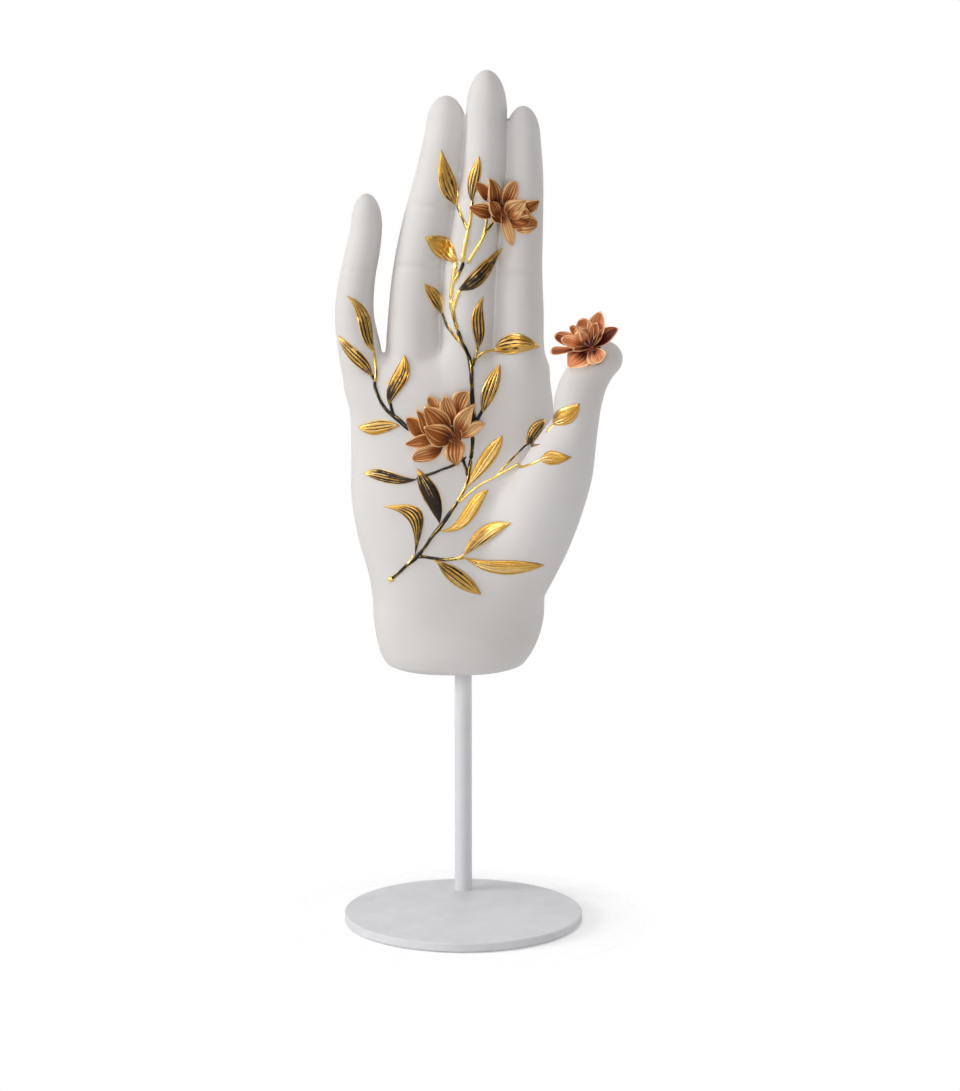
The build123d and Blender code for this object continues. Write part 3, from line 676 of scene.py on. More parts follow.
def stem_form(points, widths, golds):
    """A raised stem: a half round rib laid on the skin along a smooth line, which tapers from its
    start to its end, is a little uneven, and runs on a little at both ends under what it meets."""
    line = smooth_path(points, stem_spacing)
    for end, inner in ((0, 1), (-1, -2)):
        run = line[end] - line[inner]
        line[end] += run / np.linalg.norm(run) * stem_overrun
    steps = np.linalg.norm(np.diff(line, axis=0), axis=1)
    length = np.concatenate([[0], np.cumsum(steps)])
    along = length / length[-1]
    tangent = np.gradient(line, axis=0)
    tangent /= np.linalg.norm(tangent, axis=1, keepdims=True)
    side = np.stack([-tangent[:, 1], tangent[:, 0]], 1)
    (slow, slow_reach), (quick, quick_reach) = stem_swells
    swell = 1 + slow * np.sin(length / slow_reach + widths[0] * 5)
    swell = swell + quick * np.sin(length / quick_reach)
    taper = widths[0] + (widths[1] - widths[0]) * along
    half = taper / 2 * swell * rounded_edge(2 * along - 1, 20)
    across = np.broadcast_to(loop_across, (len(line), len(loop_across)))
    flat = line[:, None] + side[:, None] * (half[:, None] * across)[..., None]
    round_top = np.sqrt(np.clip(1 - across**2, 0, 1))
    rise = round_top * np.maximum(half[:, None] * stem_rise_share, stem_seat)
    lift = np.where(loop_top > 0, rise - stem_seat, -sink)
    gold = golds[0] + (golds[1] - golds[0]) * along[:, None]
    return closed_form(lay(flat, lift), marks_of(length[:, None], across, gold))


def petal_form(base, tip, side_shares, level, darkness):
    """A petal in relief: it starts low at the flower's heart and climbs to its own level, its
    rim stands up round a shallow cup, and fine ribs run along it."""
    along, across, top = leaf_loop(petal_rows)
    flat = blade(base, tip, side_shares, along, across)
    body = level * (0.4 + 0.6 * smooth_step(along, 0.0, 0.6))
    cup = petal_cup * (np.abs(across) ** 3 - 0.45) + tip_rise * (along - 0.5)
    rib = np.cos(across * rib_waves) * smooth_step(along, 0.05, 0.3) * (1 - across**2)
    edge = rounded_edge(across, 10) * rounded_edge(2 * along - 1, 8)
    rise = (body + cup + rib_height * rib) * edge
    lift = np.where((top > 0) & (edge > thin_edge), rise, -sink)
    # The groove mark is the negative rib: painted shade between the ribs, painted highlight on
    # them
    return closed_form(lay(flat, lift, flower_blend), marks_of(along, across, darkness, -rib))


# Leaves: the carrier, shares of the base and of the tip, then how far the left side and the right
# side stand to the left of the line between them, at one third and at two thirds, as shares of its
# length, how dark the lustre was left, where 1 is nearly black, and how many veins run along it.
# The bud at the web is tucked behind the thumb
tucked_leaf = "web_bud"
leaf_table = {
    "crescent": ("palm", -0.240, 0.397, -0.393, 0.543, -0.195, -0.235, -0.370, -0.520, 0.86, 5),
    "dark_heart": ("palm", -0.117, 0.501, -0.222, 0.663, 0.070, 0.100, -0.180, -0.170, 1.05, 5),
    "left_low": ("palm", -0.226, 0.633, -0.490, 0.637, 0.115, 0.100, -0.055, -0.130, 0.92, 5),
    "pale_blade": ("palm", 0.010, 0.600, 0.195, 0.763, 0.065, 0.095, -0.085, -0.120, 0.12, 4),
    "lower_sickle": ("palm", -0.120, 0.479, 0.127, 0.598, -0.065, 0.050, -0.215, -0.160, 0.15, 5),
    "heel_upper": ("palm", 0.008, 0.402, 0.237, 0.509, 0.170, 0.180, -0.045, -0.035, 0.45, 5),
    "heel_long": ("palm", 0.008, 0.395, 0.400, 0.372, -0.013, 0.030, -0.160, -0.145, 0.12, 4),
    "heel_lower": ("palm", -0.125, 0.380, 0.089, 0.274, 0.125, 0.125, -0.140, -0.145, 0.60, 4),
    "palm_right": ("palm", 0.098, 0.835, 0.182, 0.977, 0.150, 0.150, -0.105, -0.115, 0.62, 4),
    "palm_left": ("palm", -0.315, 0.790, -0.515, 0.777, 0.130, 0.177, -0.160, -0.145, 0.50, 4),
    "little_root": ("palm", -0.356, 0.855, -0.286, 1.002, 0.145, 0.095, -0.115, -0.200, 0.78, 5),
    "little_long": ("little", 0.325, 0.322, -0.218, 0.563, 0.065, -0.010, -0.130, -0.185, 0.60, 4),
    "little_low": ("little", 0.228, 0.213, -0.420, 0.385, 0.105, 0.120, -0.120, -0.090, 0.75, 4),
    "ring_side": ("ring", 0.490, 0.261, 0.120, 0.367, 0.100, 0.095, -0.195, -0.205, 0.62, 4),
    "ring_flag": ("ring", 0.648, 0.444, 0.000, 0.527, 0.190, 0.165, -0.255, -0.270, 0.30, 4),
    "ring_top": ("ring", 0.460, 0.635, -0.038, 0.827, 0.200, 0.150, -0.090, -0.060, 0.58, 5),
    "middle_root": ("middle", 0.205, 0.139, 0.283, 0.301, 0.140, 0.170, -0.090, -0.025, 0.72, 4),
    "middle_large": ("middle", -0.165, 0.322, 0.555, 0.446, 0.075, 0.070, -0.190, -0.125, 0.82, 5),
    "middle_top": ("middle", -0.125, 0.600, -0.100, 0.740, 0.150, 0.130, -0.070, -0.095, 0.74, 4),
    "index_root": ("index", -0.425, 0.142, 0.425, 0.151, 0.325, 0.300, -0.090, -0.055, 0.55, 5),
    "web_bud": ("palm", 0.315, 0.730, 0.400, 0.803, 0.200, 0.230, -0.110, -0.120, 0.82, 4),
    "thumb_upper": ("thumb", -0.268, 0.671, 0.004, 0.754, 0.215, 0.175, -0.225, -0.235, 0.22, 5),
    "thumb_lower": ("thumb", -0.260, 0.552, 0.100, 0.567, 0.280, 0.190, -0.180, -0.140, 0.20, 5),
}

# Stems: tapered runs, each with its width at the start and at the end as shares of the stem width,
# how gold it is at the start and at the end, and its places as shares of the carrier before them
stem_width = 2.0
stem_overrun = 0.8
stem_spacing = 0.8
stem_rise_share = 0.95
stem_seat = 0.1
# Unevenness of the width: a share of it, and over how many millimetres it swells
stem_swells = ((0.08, 3.1), (0.05, 1.3))
stem_table = {
    "lower_stem": [
        (0.85, 0.95, 0.32, 0.22, "palm", (-0.362, 0.310), (-0.320, 0.334), (-0.272, 0.366),
         (-0.227, 0.392), (-0.185, 0.426), (-0.148, 0.460), (-0.110, 0.488), (-0.067, 0.525),
         (-0.026, 0.562)),
        (0.95, 0.95, 0.75, 0.35, "palm", (-0.026, 0.562), (0.012, 0.605), (0.030, 0.645),
         (0.039, 0.690)),
        (0.95, 0.95, 0.35, 0.25, "palm", (0.039, 0.690), (0.046, 0.725), (0.050, 0.760)),
        (0.80, 0.60, 0.90, 1.10, "palm", (-0.275, 0.364), (-0.252, 0.382), (-0.241, 0.400)),
        (1.35, 1.25, 1.60, 1.60, "palm", (-0.364, 0.308), (-0.345, 0.319)),
        (0.90, 0.70, 0.20, 0.20, "palm", (0.028, 0.636), (0.018, 0.655), (0.008, 0.675),
         (-0.002, 0.695)),
    ],
    "upper_stem": [
        (1.00, 1.00, 0.15, 0.35, "palm", (0.050, 0.760), (0.053, 0.814), (0.049, 0.845),
         (0.046, 0.889), (0.043, 0.933), (0.042, 0.962), "middle", (0.060, 0.104),
         (-0.011, 0.131), (-0.095, 0.157), (-0.175, 0.193)),
        (1.00, 0.95, 0.60, 0.75, "middle", (-0.175, 0.193), (-0.240, 0.228), (-0.286, 0.264),
         (-0.311, 0.291)),
        (0.95, 0.95, 1.50, 1.50, "middle", (-0.311, 0.291), (-0.304, 0.322), (-0.280, 0.354),
         (-0.268, 0.386), (-0.266, 0.408)),
        (0.75, 0.65, 0.70, 0.25, "middle", (-0.095, 0.157), (-0.168, 0.162), (-0.269, 0.182),
         (-0.351, 0.199), (-0.408, 0.220), (-0.456, 0.240)),
        (0.70, 0.70, 0.25, 0.55, "middle", (0.110, 0.080), (0.140, 0.091), (0.185, 0.121),
         (0.208, 0.142)),
        (0.70, 0.65, 0.40, 0.95, "middle", (0.110, 0.080), (0.165, 0.099), (0.252, 0.114),
         (0.353, 0.123), (0.457, 0.125), (0.530, 0.127)),
        (0.80, 0.90, 1.10, 1.10, "middle", (-0.275, 0.250), (-0.236, 0.278), (-0.197, 0.301),
         (-0.150, 0.322)),
        (0.90, 0.80, 0.00, 0.00, "palm", (0.051, 0.800), (0.073, 0.814), (0.087, 0.829),
         (0.102, 0.845)),
        (0.70, 0.90, 0.90, 0.00, "middle", (-0.290, 0.335), (-0.225, 0.355), (-0.160, 0.383),
         (-0.125, 0.405)),
    ],
    "low_branch": [
        (0.85, 0.75, 0.00, 0.60, "palm", (-0.234, 0.392), (-0.201, 0.395), (-0.156, 0.391),
         (-0.111, 0.387), (-0.074, 0.386), (-0.030, 0.389), (0.010, 0.391)),
        (0.60, 0.60, 1.00, 1.00, "palm", (-0.020, 0.389), (0.012, 0.405)),
        (0.65, 0.65, 0.80, 1.00, "palm", (-0.150, 0.390), (-0.119, 0.377)),
    ],
    "side_twig": [
        (0.65, 0.65, 0.20, 0.00, "palm", (0.015, 0.697), (-0.014, 0.684), (-0.052, 0.671),
         (-0.098, 0.661), (-0.140, 0.651), (-0.181, 0.643), (-0.226, 0.633)),
    ],
    "thumb_branch": [
        (0.60, 0.50, 1.10, 1.00, "palm", (-0.020, 0.560), (0.065, 0.605), (0.170, 0.640),
         (0.275, 0.675), "thumb", (-0.258, 0.553)),
        (0.50, 0.45, 0.90, 0.10, "palm", (0.160, 0.637), (0.225, 0.680), (0.290, 0.718),
         (0.318, 0.732)),
        (0.42, 0.32, 0.20, 0.60, "palm", (0.312, 0.728), (0.347, 0.747), (0.375, 0.755)),
    ],
    "thumb_twig": [
        (0.45, 0.45, 0.80, 0.90, "thumb", (-0.310, 0.645), (-0.290, 0.658), (-0.264, 0.674)),
    ],
    "left_spray": [
        (1.15, 0.60, 0.00, 0.20, "palm", (-0.250, 0.778), (-0.279, 0.790), (-0.307, 0.805),
         (-0.339, 0.820), (-0.367, 0.833), (-0.387, 0.848), (-0.405, 0.867), (-0.421, 0.890),
         "little", (0.248, 0.176), (0.290, 0.200)),
        (0.70, 0.75, 0.60, 0.80, "little", (0.262, 0.185), (0.338, 0.225), (0.343, 0.267),
         (0.341, 0.311), (0.328, 0.330)),
        (0.70, 0.70, 0.10, 0.10, "little", (0.285, 0.192), (0.244, 0.209), (0.220, 0.217)),
        (0.80, 0.75, 0.00, 0.00, "palm", (-0.325, 0.812), (-0.341, 0.824), (-0.348, 0.841),
         (-0.355, 0.862)),
    ],
    "left_twig": [
        (1.10, 0.70, 0.85, 0.65, "middle", (-0.150, 0.405), (-0.139, 0.459), (-0.125, 0.486),
         (-0.115, 0.507), (-0.104, 0.534), (-0.111, 0.561), (-0.125, 0.603)),
        (0.75, 0.75, 0.70, 0.60, "middle", (-0.119, 0.505), (-0.198, 0.528), (-0.285, 0.554),
         (-0.385, 0.583)),
    ],
    "right_twig": [
        (0.95, 0.65, 0.85, 0.60, "middle", (-0.050, 0.405), (0.054, 0.443), (0.127, 0.469),
         (0.185, 0.496), (0.249, 0.514), (0.339, 0.537), (0.403, 0.551)),
        (0.65, 0.60, 0.70, 0.60, "middle", (0.172, 0.490), (0.190, 0.517), (0.187, 0.545)),
    ],
}

# Flowers in relief: place of the centre and width, then petals by node from the top layer down. A
# petal has its base and tip as shares of the width, its sides as a leaf has them, and how dark it
# is. The darkest ones lie under the others and fill the flower's heart with painted shade
palm_flower = (("palm", -0.040, 0.765), 37.5, {
    "palm_flower_cup": [(-0.010, -0.065, -0.376, 0.108, 0.39, 0.34, -0.325, -0.27, 0.60)],
    "palm_flower_inner_petals": [
        (0.020, 0.000, 0.255, 0.400, 0.27, 0.225, -0.185, -0.085, 0.15),
        (-0.050, 0.035, -0.370, 0.357, 0.335, 0.27, -0.29, -0.265, 0.55),
        (-0.015, -0.020, 0.048, -0.380, 0.315, 0.215, -0.345, -0.38, 0.35),
        (-0.135, -0.125, -0.518, -0.318, 0.23, 0.195, -0.14, -0.24, 0.50),
    ],
    "palm_flower_middle_petals": [
        (-0.025, 0.115, -0.100, 0.500, 0.20, 0.28, -0.195, -0.17, 0.35),
        (-0.265, -0.030, -0.470, 0.306, 0.195, 0.105, -0.195, -0.23, 0.60),
        (-0.215, -0.070, -0.610, -0.113, 0.135, 0.135, -0.245, -0.175, 0.55),
        (0.030, -0.020, 0.375, 0.140, 0.135, 0.24, -0.195, -0.14, 0.05),
    ],
    "palm_flower_outer_petals": [
        (0.030, 0.210, 0.171, 0.551, 0.245, 0.41, -0.09, -0.15, 0.40),
        (-0.160, 0.240, -0.319, 0.481, 0.18, 0.24, -0.22, -0.25, 0.45),
        (-0.320, 0.000, -0.594, 0.206, 0.345, 0.265, -0.18, -0.235, 0.65),
        # A dark sheet of painted shade at the flower's heart
        (-0.060, 0.100, 0.060, -0.090, 0.40, 0.40, -0.40, -0.40, 1.20),
    ],
})
finger_flower = (("middle", 0.400, 0.575), 32.0, {
    "finger_flower_inner_petals": [
        (0.063, -0.123, 0.366, 0.116, 0.385, 0.285, -0.38, -0.275, 0.00),
    ],
    "finger_flower_middle_petals": [
        (-0.010, 0.038, -0.179, 0.442, 0.25, 0.135, -0.19, -0.205, 0.60),
        (0.029, -0.014, 0.169, -0.548, 0.105, 0.155, -0.15, -0.155, 0.15),
        (-0.010, -0.141, -0.174, 0.100, 0.25, 0.21, -0.26, -0.325, 0.55),
    ],
    "finger_flower_outer_petals": [
        (-0.140, 0.080, -0.393, 0.392, 0.115, 0.06, -0.275, -0.265, 0.70),
        (-0.065, -0.089, -0.441, 0.029, 0.27, 0.235, -0.265, -0.225, 0.60),
        (0.033, 0.021, 0.234, 0.386, 0.205, 0.265, -0.25, -0.24, 0.35),
        (0.308, -0.039, 0.537, 0.103, 0.305, 0.205, -0.415, -0.31, 0.60),
        (0.165, -0.233, 0.529, -0.246, 0.31, 0.40, -0.34, -0.335, 0.45),
        # Two dark sheets of painted shade at the flower's heart
        (-0.100, 0.050, 0.120, -0.200, 0.45, 0.45, -0.45, -0.45, 1.20),
        (0.100, -0.050, 0.420, -0.200, 0.45, 0.45, -0.50, -0.50, 1.00),
    ],
})
# The lowest layer's height, the step to the next, how far rims and tips stand up, and the ribs
petal_rows = 56
petal_relief = 1.0
petal_step = 0.75
petal_cup = 0.9
tip_rise = 0.5
rib_waves = 17
rib_height = 0.1

# Thumb flower, in its own frame: the axis stands on the thumb, angles go round it from the right.
# A petal has its angle, reach, height of the tip, width, the share of its length where it is
# widest, how pointed it is, from 0.5 to 1, how far its rims roll up in degrees, how far its
# midline sags, and how dark it is
flower_axis = np.array([-0.25, -0.75, 0.60])
flower_rise = 7.0
flower_drop = 0.8
thumb_ring_row = 10
outer_petals = [
    (103, 12.2, 7.0, 8.8, 0.64, 0.50, 50, 1.0, 0.00),
    (161, 16.7, 5.6, 8.4, 0.64, 0.52, 62, 1.6, 0.45),
    (188, 18.0, 4.6, 5.2, 0.80, 0.50, 60, -0.4, 0.45),
    (222, 14.2, 1.4, 12.0, 0.47, 0.95, 16, 0.3, 0.35),
    (252, 10.0, 0.2, 8.0, 0.58, 0.60, 10, 0.0, 0.35),
    (294, 9.8, 1.2, 9.5, 0.64, 0.50, 28, 0.5, 0.15),
    (18, 14.8, 6.4, 9.6, 0.55, 0.78, 66, 1.6, 0.75),
    (64, 14.8, 8.4, 9.6, 0.56, 0.75, 46, 1.2, 0.20),
]
inner_petals = [
    (132, 12.4, 6.2, 5.4, 0.66, 0.55, 62, 1.0, 0.15),
    (163, 13.4, 4.6, 6.6, 0.62, 0.60, 36, 0.8, 0.00),
    (200, 8.0, 4.4, 3.4, 0.60, 0.70, 64, 0.0, 0.30),
    (66, 9.8, 6.4, 6.0, 0.62, 0.60, 56, 0.6, 0.20),
    (36, 7.6, 4.2, 4.0, 0.60, 0.70, 62, 0.3, 0.60),
]
open_rows, open_columns = 44, 40
petal_thickness = 0.8
foot_share = 0.12
ruffle_height = 0.22
# How strongly the hollow of an open petal's upper face is darkened, as painted shade
petal_hollow_shade = 2.2
# The bud: its angle, how far out and how high, its radii across and along, and its lobes
bud_place = (129, 4.4, 7.2)
bud_radii = (3.4, 3.9)
lobe_share = 0.05
# The stalk: its radius, how far it sinks into the thumb and how far it rises into the flower
calyx_radius = 3.0
calyx_sink = 1.0
calyx_top = 0.6


# Finishes
def linear(hex_colour):
    """An sRGB hex colour as linear red, green, blue and alpha."""
    values = [int(hex_colour[start : start + 2], 16) / 255 for start in (1, 3, 5)]
    return [v / 12.92 if v <= 0.04045 else ((v + 0.055) / 1.055) ** 2.4 for v in values] + [1.0]


def feed(tree, node, links):
    """Links sockets to the inputs of a node."""
    for key, socket in links.items():
        tree.links.new(socket, node.inputs[key])


def add(tree, kind, settings=None, links=None):
    """Adds a shader node of a kind. Settings are properties of the node or values of its inputs,
    and links feed its inputs from sockets of other nodes."""
    node = tree.nodes.new("ShaderNode" + kind)
    for key, value in (settings or {}).items():
        if isinstance(key, str) and hasattr(node, key):
            setattr(node, key, value)
        else:
            node.inputs[key].default_value = value
    feed(tree, node, links or {})
    return node


def ramp(tree, factor, stops):
    """A colour ramp from (place, hex colour) stops."""
    node = add(tree, "ValToRGB", links={"Fac": factor})
    elements = node.color_ramp.elements
    while len(elements) < len(stops):
        elements.new(0.5)
    for element, (place, colour) in zip(elements, stops):
        element.position = place
        element.color = linear(colour)
    return node.outputs["Color"]


def arithmetic(tree, operation, *values, clamp=False):
    """One arithmetic operation on numbers or sockets."""
    node = add(tree, "Math", {"operation": operation, "use_clamp": clamp})
    for index, value in enumerate(values):
        if isinstance(value, (int, float)):
            node.inputs[index].default_value = value
        else:
            tree.links.new(value, node.inputs[index])
    return node.outputs[0]


def weigh(tree, start, *terms, clamp=False):
    """A number plus the sum of its terms. A term is a socket, its weight and its middle, which
    is taken off before it is weighed."""
    total = start - sum(weight * middle for _, weight, middle in terms)
    for number, (socket, weight, _) in enumerate(terms, 1):
        last = clamp and number == len(terms)
        total = arithmetic(tree, "MULTIPLY_ADD", socket, weight, total, clamp=last)
    return total


def spread(tree, value, at_zero, at_one):
    """A socket from 0 to 1 drawn out between two numbers."""
    return arithmetic(tree, "MULTIPLY_ADD", value, at_one - at_zero, at_zero)


def between(tree, value, low, high):
    """A smooth step of a socket from 0 at low to 1 at high."""
    settings = {"interpolation_type": "SMOOTHSTEP", "From Min": low, "From Max": high}
    return add(tree, "MapRange", settings, {"Value": value}).outputs["Result"]


def grain(tree, size, detail=2.0, roughness=0.5, vector=None):
    """Noise whose features are about size millimetres across, or over a given vector."""
    if vector is None:
        vector = add(tree, "TexCoord").outputs["Object"]
        size = size / millimetres
    settings = {"Scale": 1 / size, "Detail": detail, "Roughness": roughness}
    return add(tree, "TexNoise", settings, {"Vector": vector}).outputs["Fac"]


def new_material(name, roughness, metallic=0.0):
    """A material with one principled shader, its node tree and the shader."""
    material = bpy.data.materials.new(name)
    material.use_nodes = True
    tree = material.node_tree
    shader = tree.nodes["Principled BSDF"]
    shader.inputs["Roughness"].default_value = roughness
    shader.inputs["Metallic"].default_value = metallic
    return material, tree, shader


def bump(tree, shader, height, depth, strength=1.0):
    """Bump of a real depth in millimetres on a shader."""
    settings = {"Strength": strength, "Distance": depth / millimetres}
    node = add(tree, "Bump", settings, {"Height": height})
    feed(tree, shader, {"Normal": node.outputs["Normal"]})


def bisque_porcelain():
    """Unglazed porcelain, slip cast and fired: a dry white skin with a fine tooth that scatters
    light evenly, and faint warm clouds from the kiln."""
    material, tree, shader = new_material("bisque_porcelain", 0.68)
    clouds = grain(tree, 34.0, 3.0)
    colour = ramp(tree, clouds, [(0.30, "#DBD7D4"), (0.70, "#E1DEDC")])
    feed(tree, shader, {"Base Color": colour})
    shader.inputs["Specular IOR Level"].default_value = 0.35
    bump(tree, shader, grain(tree, 0.5, 4.0, 0.6), 0.02, 0.6)
    return material


def piece_marks(tree):
    """Marks of a piece as sockets: along it, how far to the side, how dark, how deep in a groove,
    and the vector that holds the first three."""
    vector = add(tree, "Attribute", {"attribute_name": "place"}).outputs["Vector"]
    parts = add(tree, "SeparateXYZ", links={"Vector": vector}).outputs
    groove = add(tree, "Attribute", {"attribute_name": "groove"}).outputs["Fac"]
    return parts["X"], arithmetic(tree, "ABSOLUTE", parts["Y"]), parts["Z"], groove, vector


def streaks(tree, vector, across_scale, along_scale, detail=2.0):
    """Noise drawn out along a piece: fine across it and long along it."""
    scale = (along_scale, across_scale, 7.0)
    stretched = add(tree, "Mapping", {"Scale": scale}, {"Vector": vector})
    return grain(tree, 1.0, detail, 0.5, stretched.outputs["Vector"])


def mixed(tree, factor, first, second):
    """One colour socket laid over another by a factor."""
    node = add(tree, "Mix", {"data_type": "RGBA"})
    for name, socket in (("Factor", factor), ("A", first), ("B", second)):
        target = [spare for spare in node.inputs if spare.name == name and spare.enabled][0]
        tree.links.new(socket, target)
    return [spare for spare in node.outputs if spare.enabled][0]


def gold_leaf_lustre():
    """Bright gold lustre fired over a dark underglaze: gold on the raised faces, brown to near
    black in the vein strokes and in uneven patches towards the base, where the maker wiped the
    gold away, and a gold rim."""
    material, tree, shader = new_material("gold_leaf_lustre", 0.3, 0.9)
    along, side, darkness, groove, vector = piece_marks(tree)
    ends = arithmetic(tree, "ABSOLUTE", arithmetic(tree, "SUBTRACT", along, 0.47))
    rims = (between(tree, side, 0.76, 0.92), between(tree, ends, 0.40, 0.5))
    keep = arithmetic(tree, "MAXIMUM", *rims)
    mark = weigh(tree, 0, (groove, 0.60, 0), (streaks(tree, vector, 5.0, 1.1), 1.5, 0.5),
                 (grain(tree, 3.2), 0.7, 0.5), (along, -0.45, 0.5), (darkness, 1.0, 0.5),
                 (keep, -0.35, 0))
    dark = between(tree, mark, 0.24, 0.50)
    fine = streaks(tree, vector, 12.0, 1.3)
    gold = ramp(tree, fine, [(0.30, "#98641A"), (0.50, "#D9A440"), (0.68, "#FCE4A6")])
    stroke = ramp(tree, dark, [(0.0, "#A8741F"), (0.4, "#5E3C12"), (1.0, "#21150A")])
    feed(tree, shader, {
        "Base Color": mixed(tree, dark, gold, stroke),
        "Metallic": spread(tree, dark, 0.9, 0.3),
        "Roughness": spread(tree, grain(tree, 1.5), 0.18, 0.43),
    })
    bump(tree, shader, fine, 0.16, 0.8)
    return material


def dark_gold_stem():
    """Dark iron glaze with gold lustre drawn along its sides by a fine brush, and worn through."""
    material, tree, shader = new_material("dark_gold_stem", 0.26, 0.8)
    _, side, gold_share, _, vector = piece_marks(tree)
    lines = streaks(tree, vector, 2.2, 0.14, 3.0)
    mark = weigh(tree, 0, (gold_share, 0.62, 0), (lines, 1.5, 0), (side, 0.22, 0))
    gilt = between(tree, mark, 1.06, 1.20)
    stops = [(0.0, "#120B04"), (0.35, "#4A3112"), (0.75, "#C2933A"), (1.0, "#F4D37C")]
    feed(tree, shader, {"Base Color": ramp(tree, gilt, stops),
                        "Metallic": spread(tree, gilt, 0.4, 0.9)})
    bump(tree, shader, lines, 0.12, 0.6)
    return material


def petal_lustre(name, dark, body, light, glow, heart_shade_reach):
    """Satin lustre over stained bisque, with painted shade deep in the heart of the flower, as far
    as the share heart_shade_reach of each petal, in its hollow and between its relief ribs; fine
    pale ribs run along it, and a painted highlight lightens its sides and its rim."""
    material, tree, shader = new_material(name, 0.42, 0.35)
    along, side, darkness, groove, vector = piece_marks(tree)
    # Painted highlight: the rim and the sides of every petal are lightened
    rims = (between(tree, side, 0.84, 0.93), between(tree, along, 0.92, 0.985))
    pale = arithmetic(tree, "MAXIMUM", *rims)
    ribs = streaks(tree, vector, 7.5, 0.8, 1.0)
    # Painted shade: darker towards the heart by the strength glow, in the hollows and between the
    # ribs
    tone = weigh(tree, 0.72, (darkness, -0.42, 0), (ribs, 1.0, 0.5), (groove, -0.15, 0),
                 (between(tree, along, 0.02, heart_shade_reach), glow, 1), (side, 0.16, 0.6),
                 (pale, 0.75, 0), clamp=True)
    colour = ramp(tree, tone, [(0.0, dark), (0.45, body), (0.85, light)])
    feed(tree, shader, {"Base Color": colour})
    shader.inputs["Specular IOR Level"].default_value = 0.3
    bump(tree, shader, streaks(tree, vector, 12.0, 1.2), 0.16, 0.8)
    return material


def coated_steel(name, colour, tooth):
    """White powder coat, sprayed and baked: a matt film with a slight orange peel and a fine
    tooth, a little cool beside the porcelain."""
    material, tree, shader = new_material(name, 0.5)
    tone = ramp(tree, grain(tree, 9.0, 2.0), [(0.3, colour), (0.7, "#E6E6E9")])
    feed(tree, shader, {"Base Color": tone})
    bump(tree, shader, grain(tree, tooth, 3.0, 0.6), 0.015, 0.5)
    return material


def plain_finish(name, first, second, size, roughness, metallic, depth):
    """A finish of two close tones mixed by grain of one size, with bump of the same grain."""
    material, tree, shader = new_material(name, roughness, metallic)
    pattern = grain(tree, size, 4.0, 0.6)
    feed(tree, shader, {"Base Color": ramp(tree, pattern, [(0.3, first), (0.7, second)])})
    bump(tree, shader, pattern, depth)
    return material


# Made alike, each by its own values: petals, coats, and plain finishes of two tones
# Petals: dark, body and light colours, the strength of the painted shade at the heart, and its
# reach
petal_lustres = {
    "copper_petal_lustre": ("#451505", "#9C5417", "#F2C88E", 0.48, 0.56),
    "amber_petal_lustre": ("#4A0C03", "#CC7A48", "#FAD0A2", 0.72, 0.66),
}
coats = {
    "powder_coated_steel": ("#DEDEE2", 0.7),
    "powder_coated_rod": ("#E2E2E6", 0.5),
}
plain_finishes = {
    # Bright zinc plate on a turned screw: grey with a soft mottle
    "zinc_plated_screw": ("#A9ABAE", "#C9CACC", 0.6, 0.35, 1.0, 0.01),
    # Turned natural nylon: waxy off-white
    "nylon_sleeve": ("#E4E1D8", "#EFEDE6", 1.2, 0.45, 0.0, 0.01),
    # Drawn brass tube: yellow metal, dulled by handling
    "brass_tube": ("#B08D4A", "#CBAA63", 0.8, 0.38, 1.0, 0.01),
    # Poured casting resin: matt ivory with small pits
    "casting_resin": ("#D9D6CC", "#E6E3DA", 1.0, 0.7, 0.0, 0.05),
    # Pressed wool felt: matt grey with tangled fibres about 0.3 mm thick
    "grey_felt": ("#6B6B6D", "#8A8A8C", 0.5, 0.95, 0.0, 0.25),
}
finishes = {
    "bisque_porcelain": bisque_porcelain(),
    "gold_leaf_lustre": gold_leaf_lustre(),
    "dark_gold_stem": dark_gold_stem(),
}
for maker, table in (
    (petal_lustre, petal_lustres), (coated_steel, coats), (plain_finish, plain_finishes),
):
    for name, values in table.items():
        finishes[name] = maker(name, *values)

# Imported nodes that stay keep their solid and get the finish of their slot
kept_nodes = {
    "base_felt": "grey_felt", "base_plate": "powder_coated_steel",
    "base_screw": "zinc_plated_screw", "stand_rod": "powder_coated_rod",
    "pivot_sleeve": "nylon_sleeve", "socket_tube": "brass_tube", "socket_cap": "brass_tube",
    "wrist_plug": "casting_resin",
}
for node, finish in kept_nodes.items():
    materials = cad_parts[node].data.materials
    for index in range(len(materials)):
        materials[index] = finishes[finish]
    if not len(materials):
        materials.append(finishes[finish])

# The cast hand
add_piece("cast_hand", "hand_shell", "bisque_porcelain", *cast_hand())

# Leaves and stems
for name, (carrier, *row) in leaf_table.items():
    overrun = 0 if carrier == "thumb" else leaf_overrun
    base, tip = spot(carrier, *row[0:2]), spot(carrier, *row[2:4])
    form = leaf_form(base, tip, row[4:8], *row[8:10], name == tucked_leaf, overrun)
    add_piece(f"leaf_{name}_gilt", f"leaf_{name}", "gold_leaf_lustre", *form)

for name, runs in stem_table.items():
    forms = []
    for start_share, end_share, gold_start, gold_end, *route in runs:
        points = []
        for stop in route:
            if isinstance(stop, str):
                carrier = stop
            else:
                points.append(spot(carrier, *stop))
        widths = (stem_width * start_share, stem_width * end_share)
        forms.append(stem_form(points, widths, (gold_start, gold_end)))
    add_piece(name + "_gilt", name, "dark_gold_stem", *joined(forms))

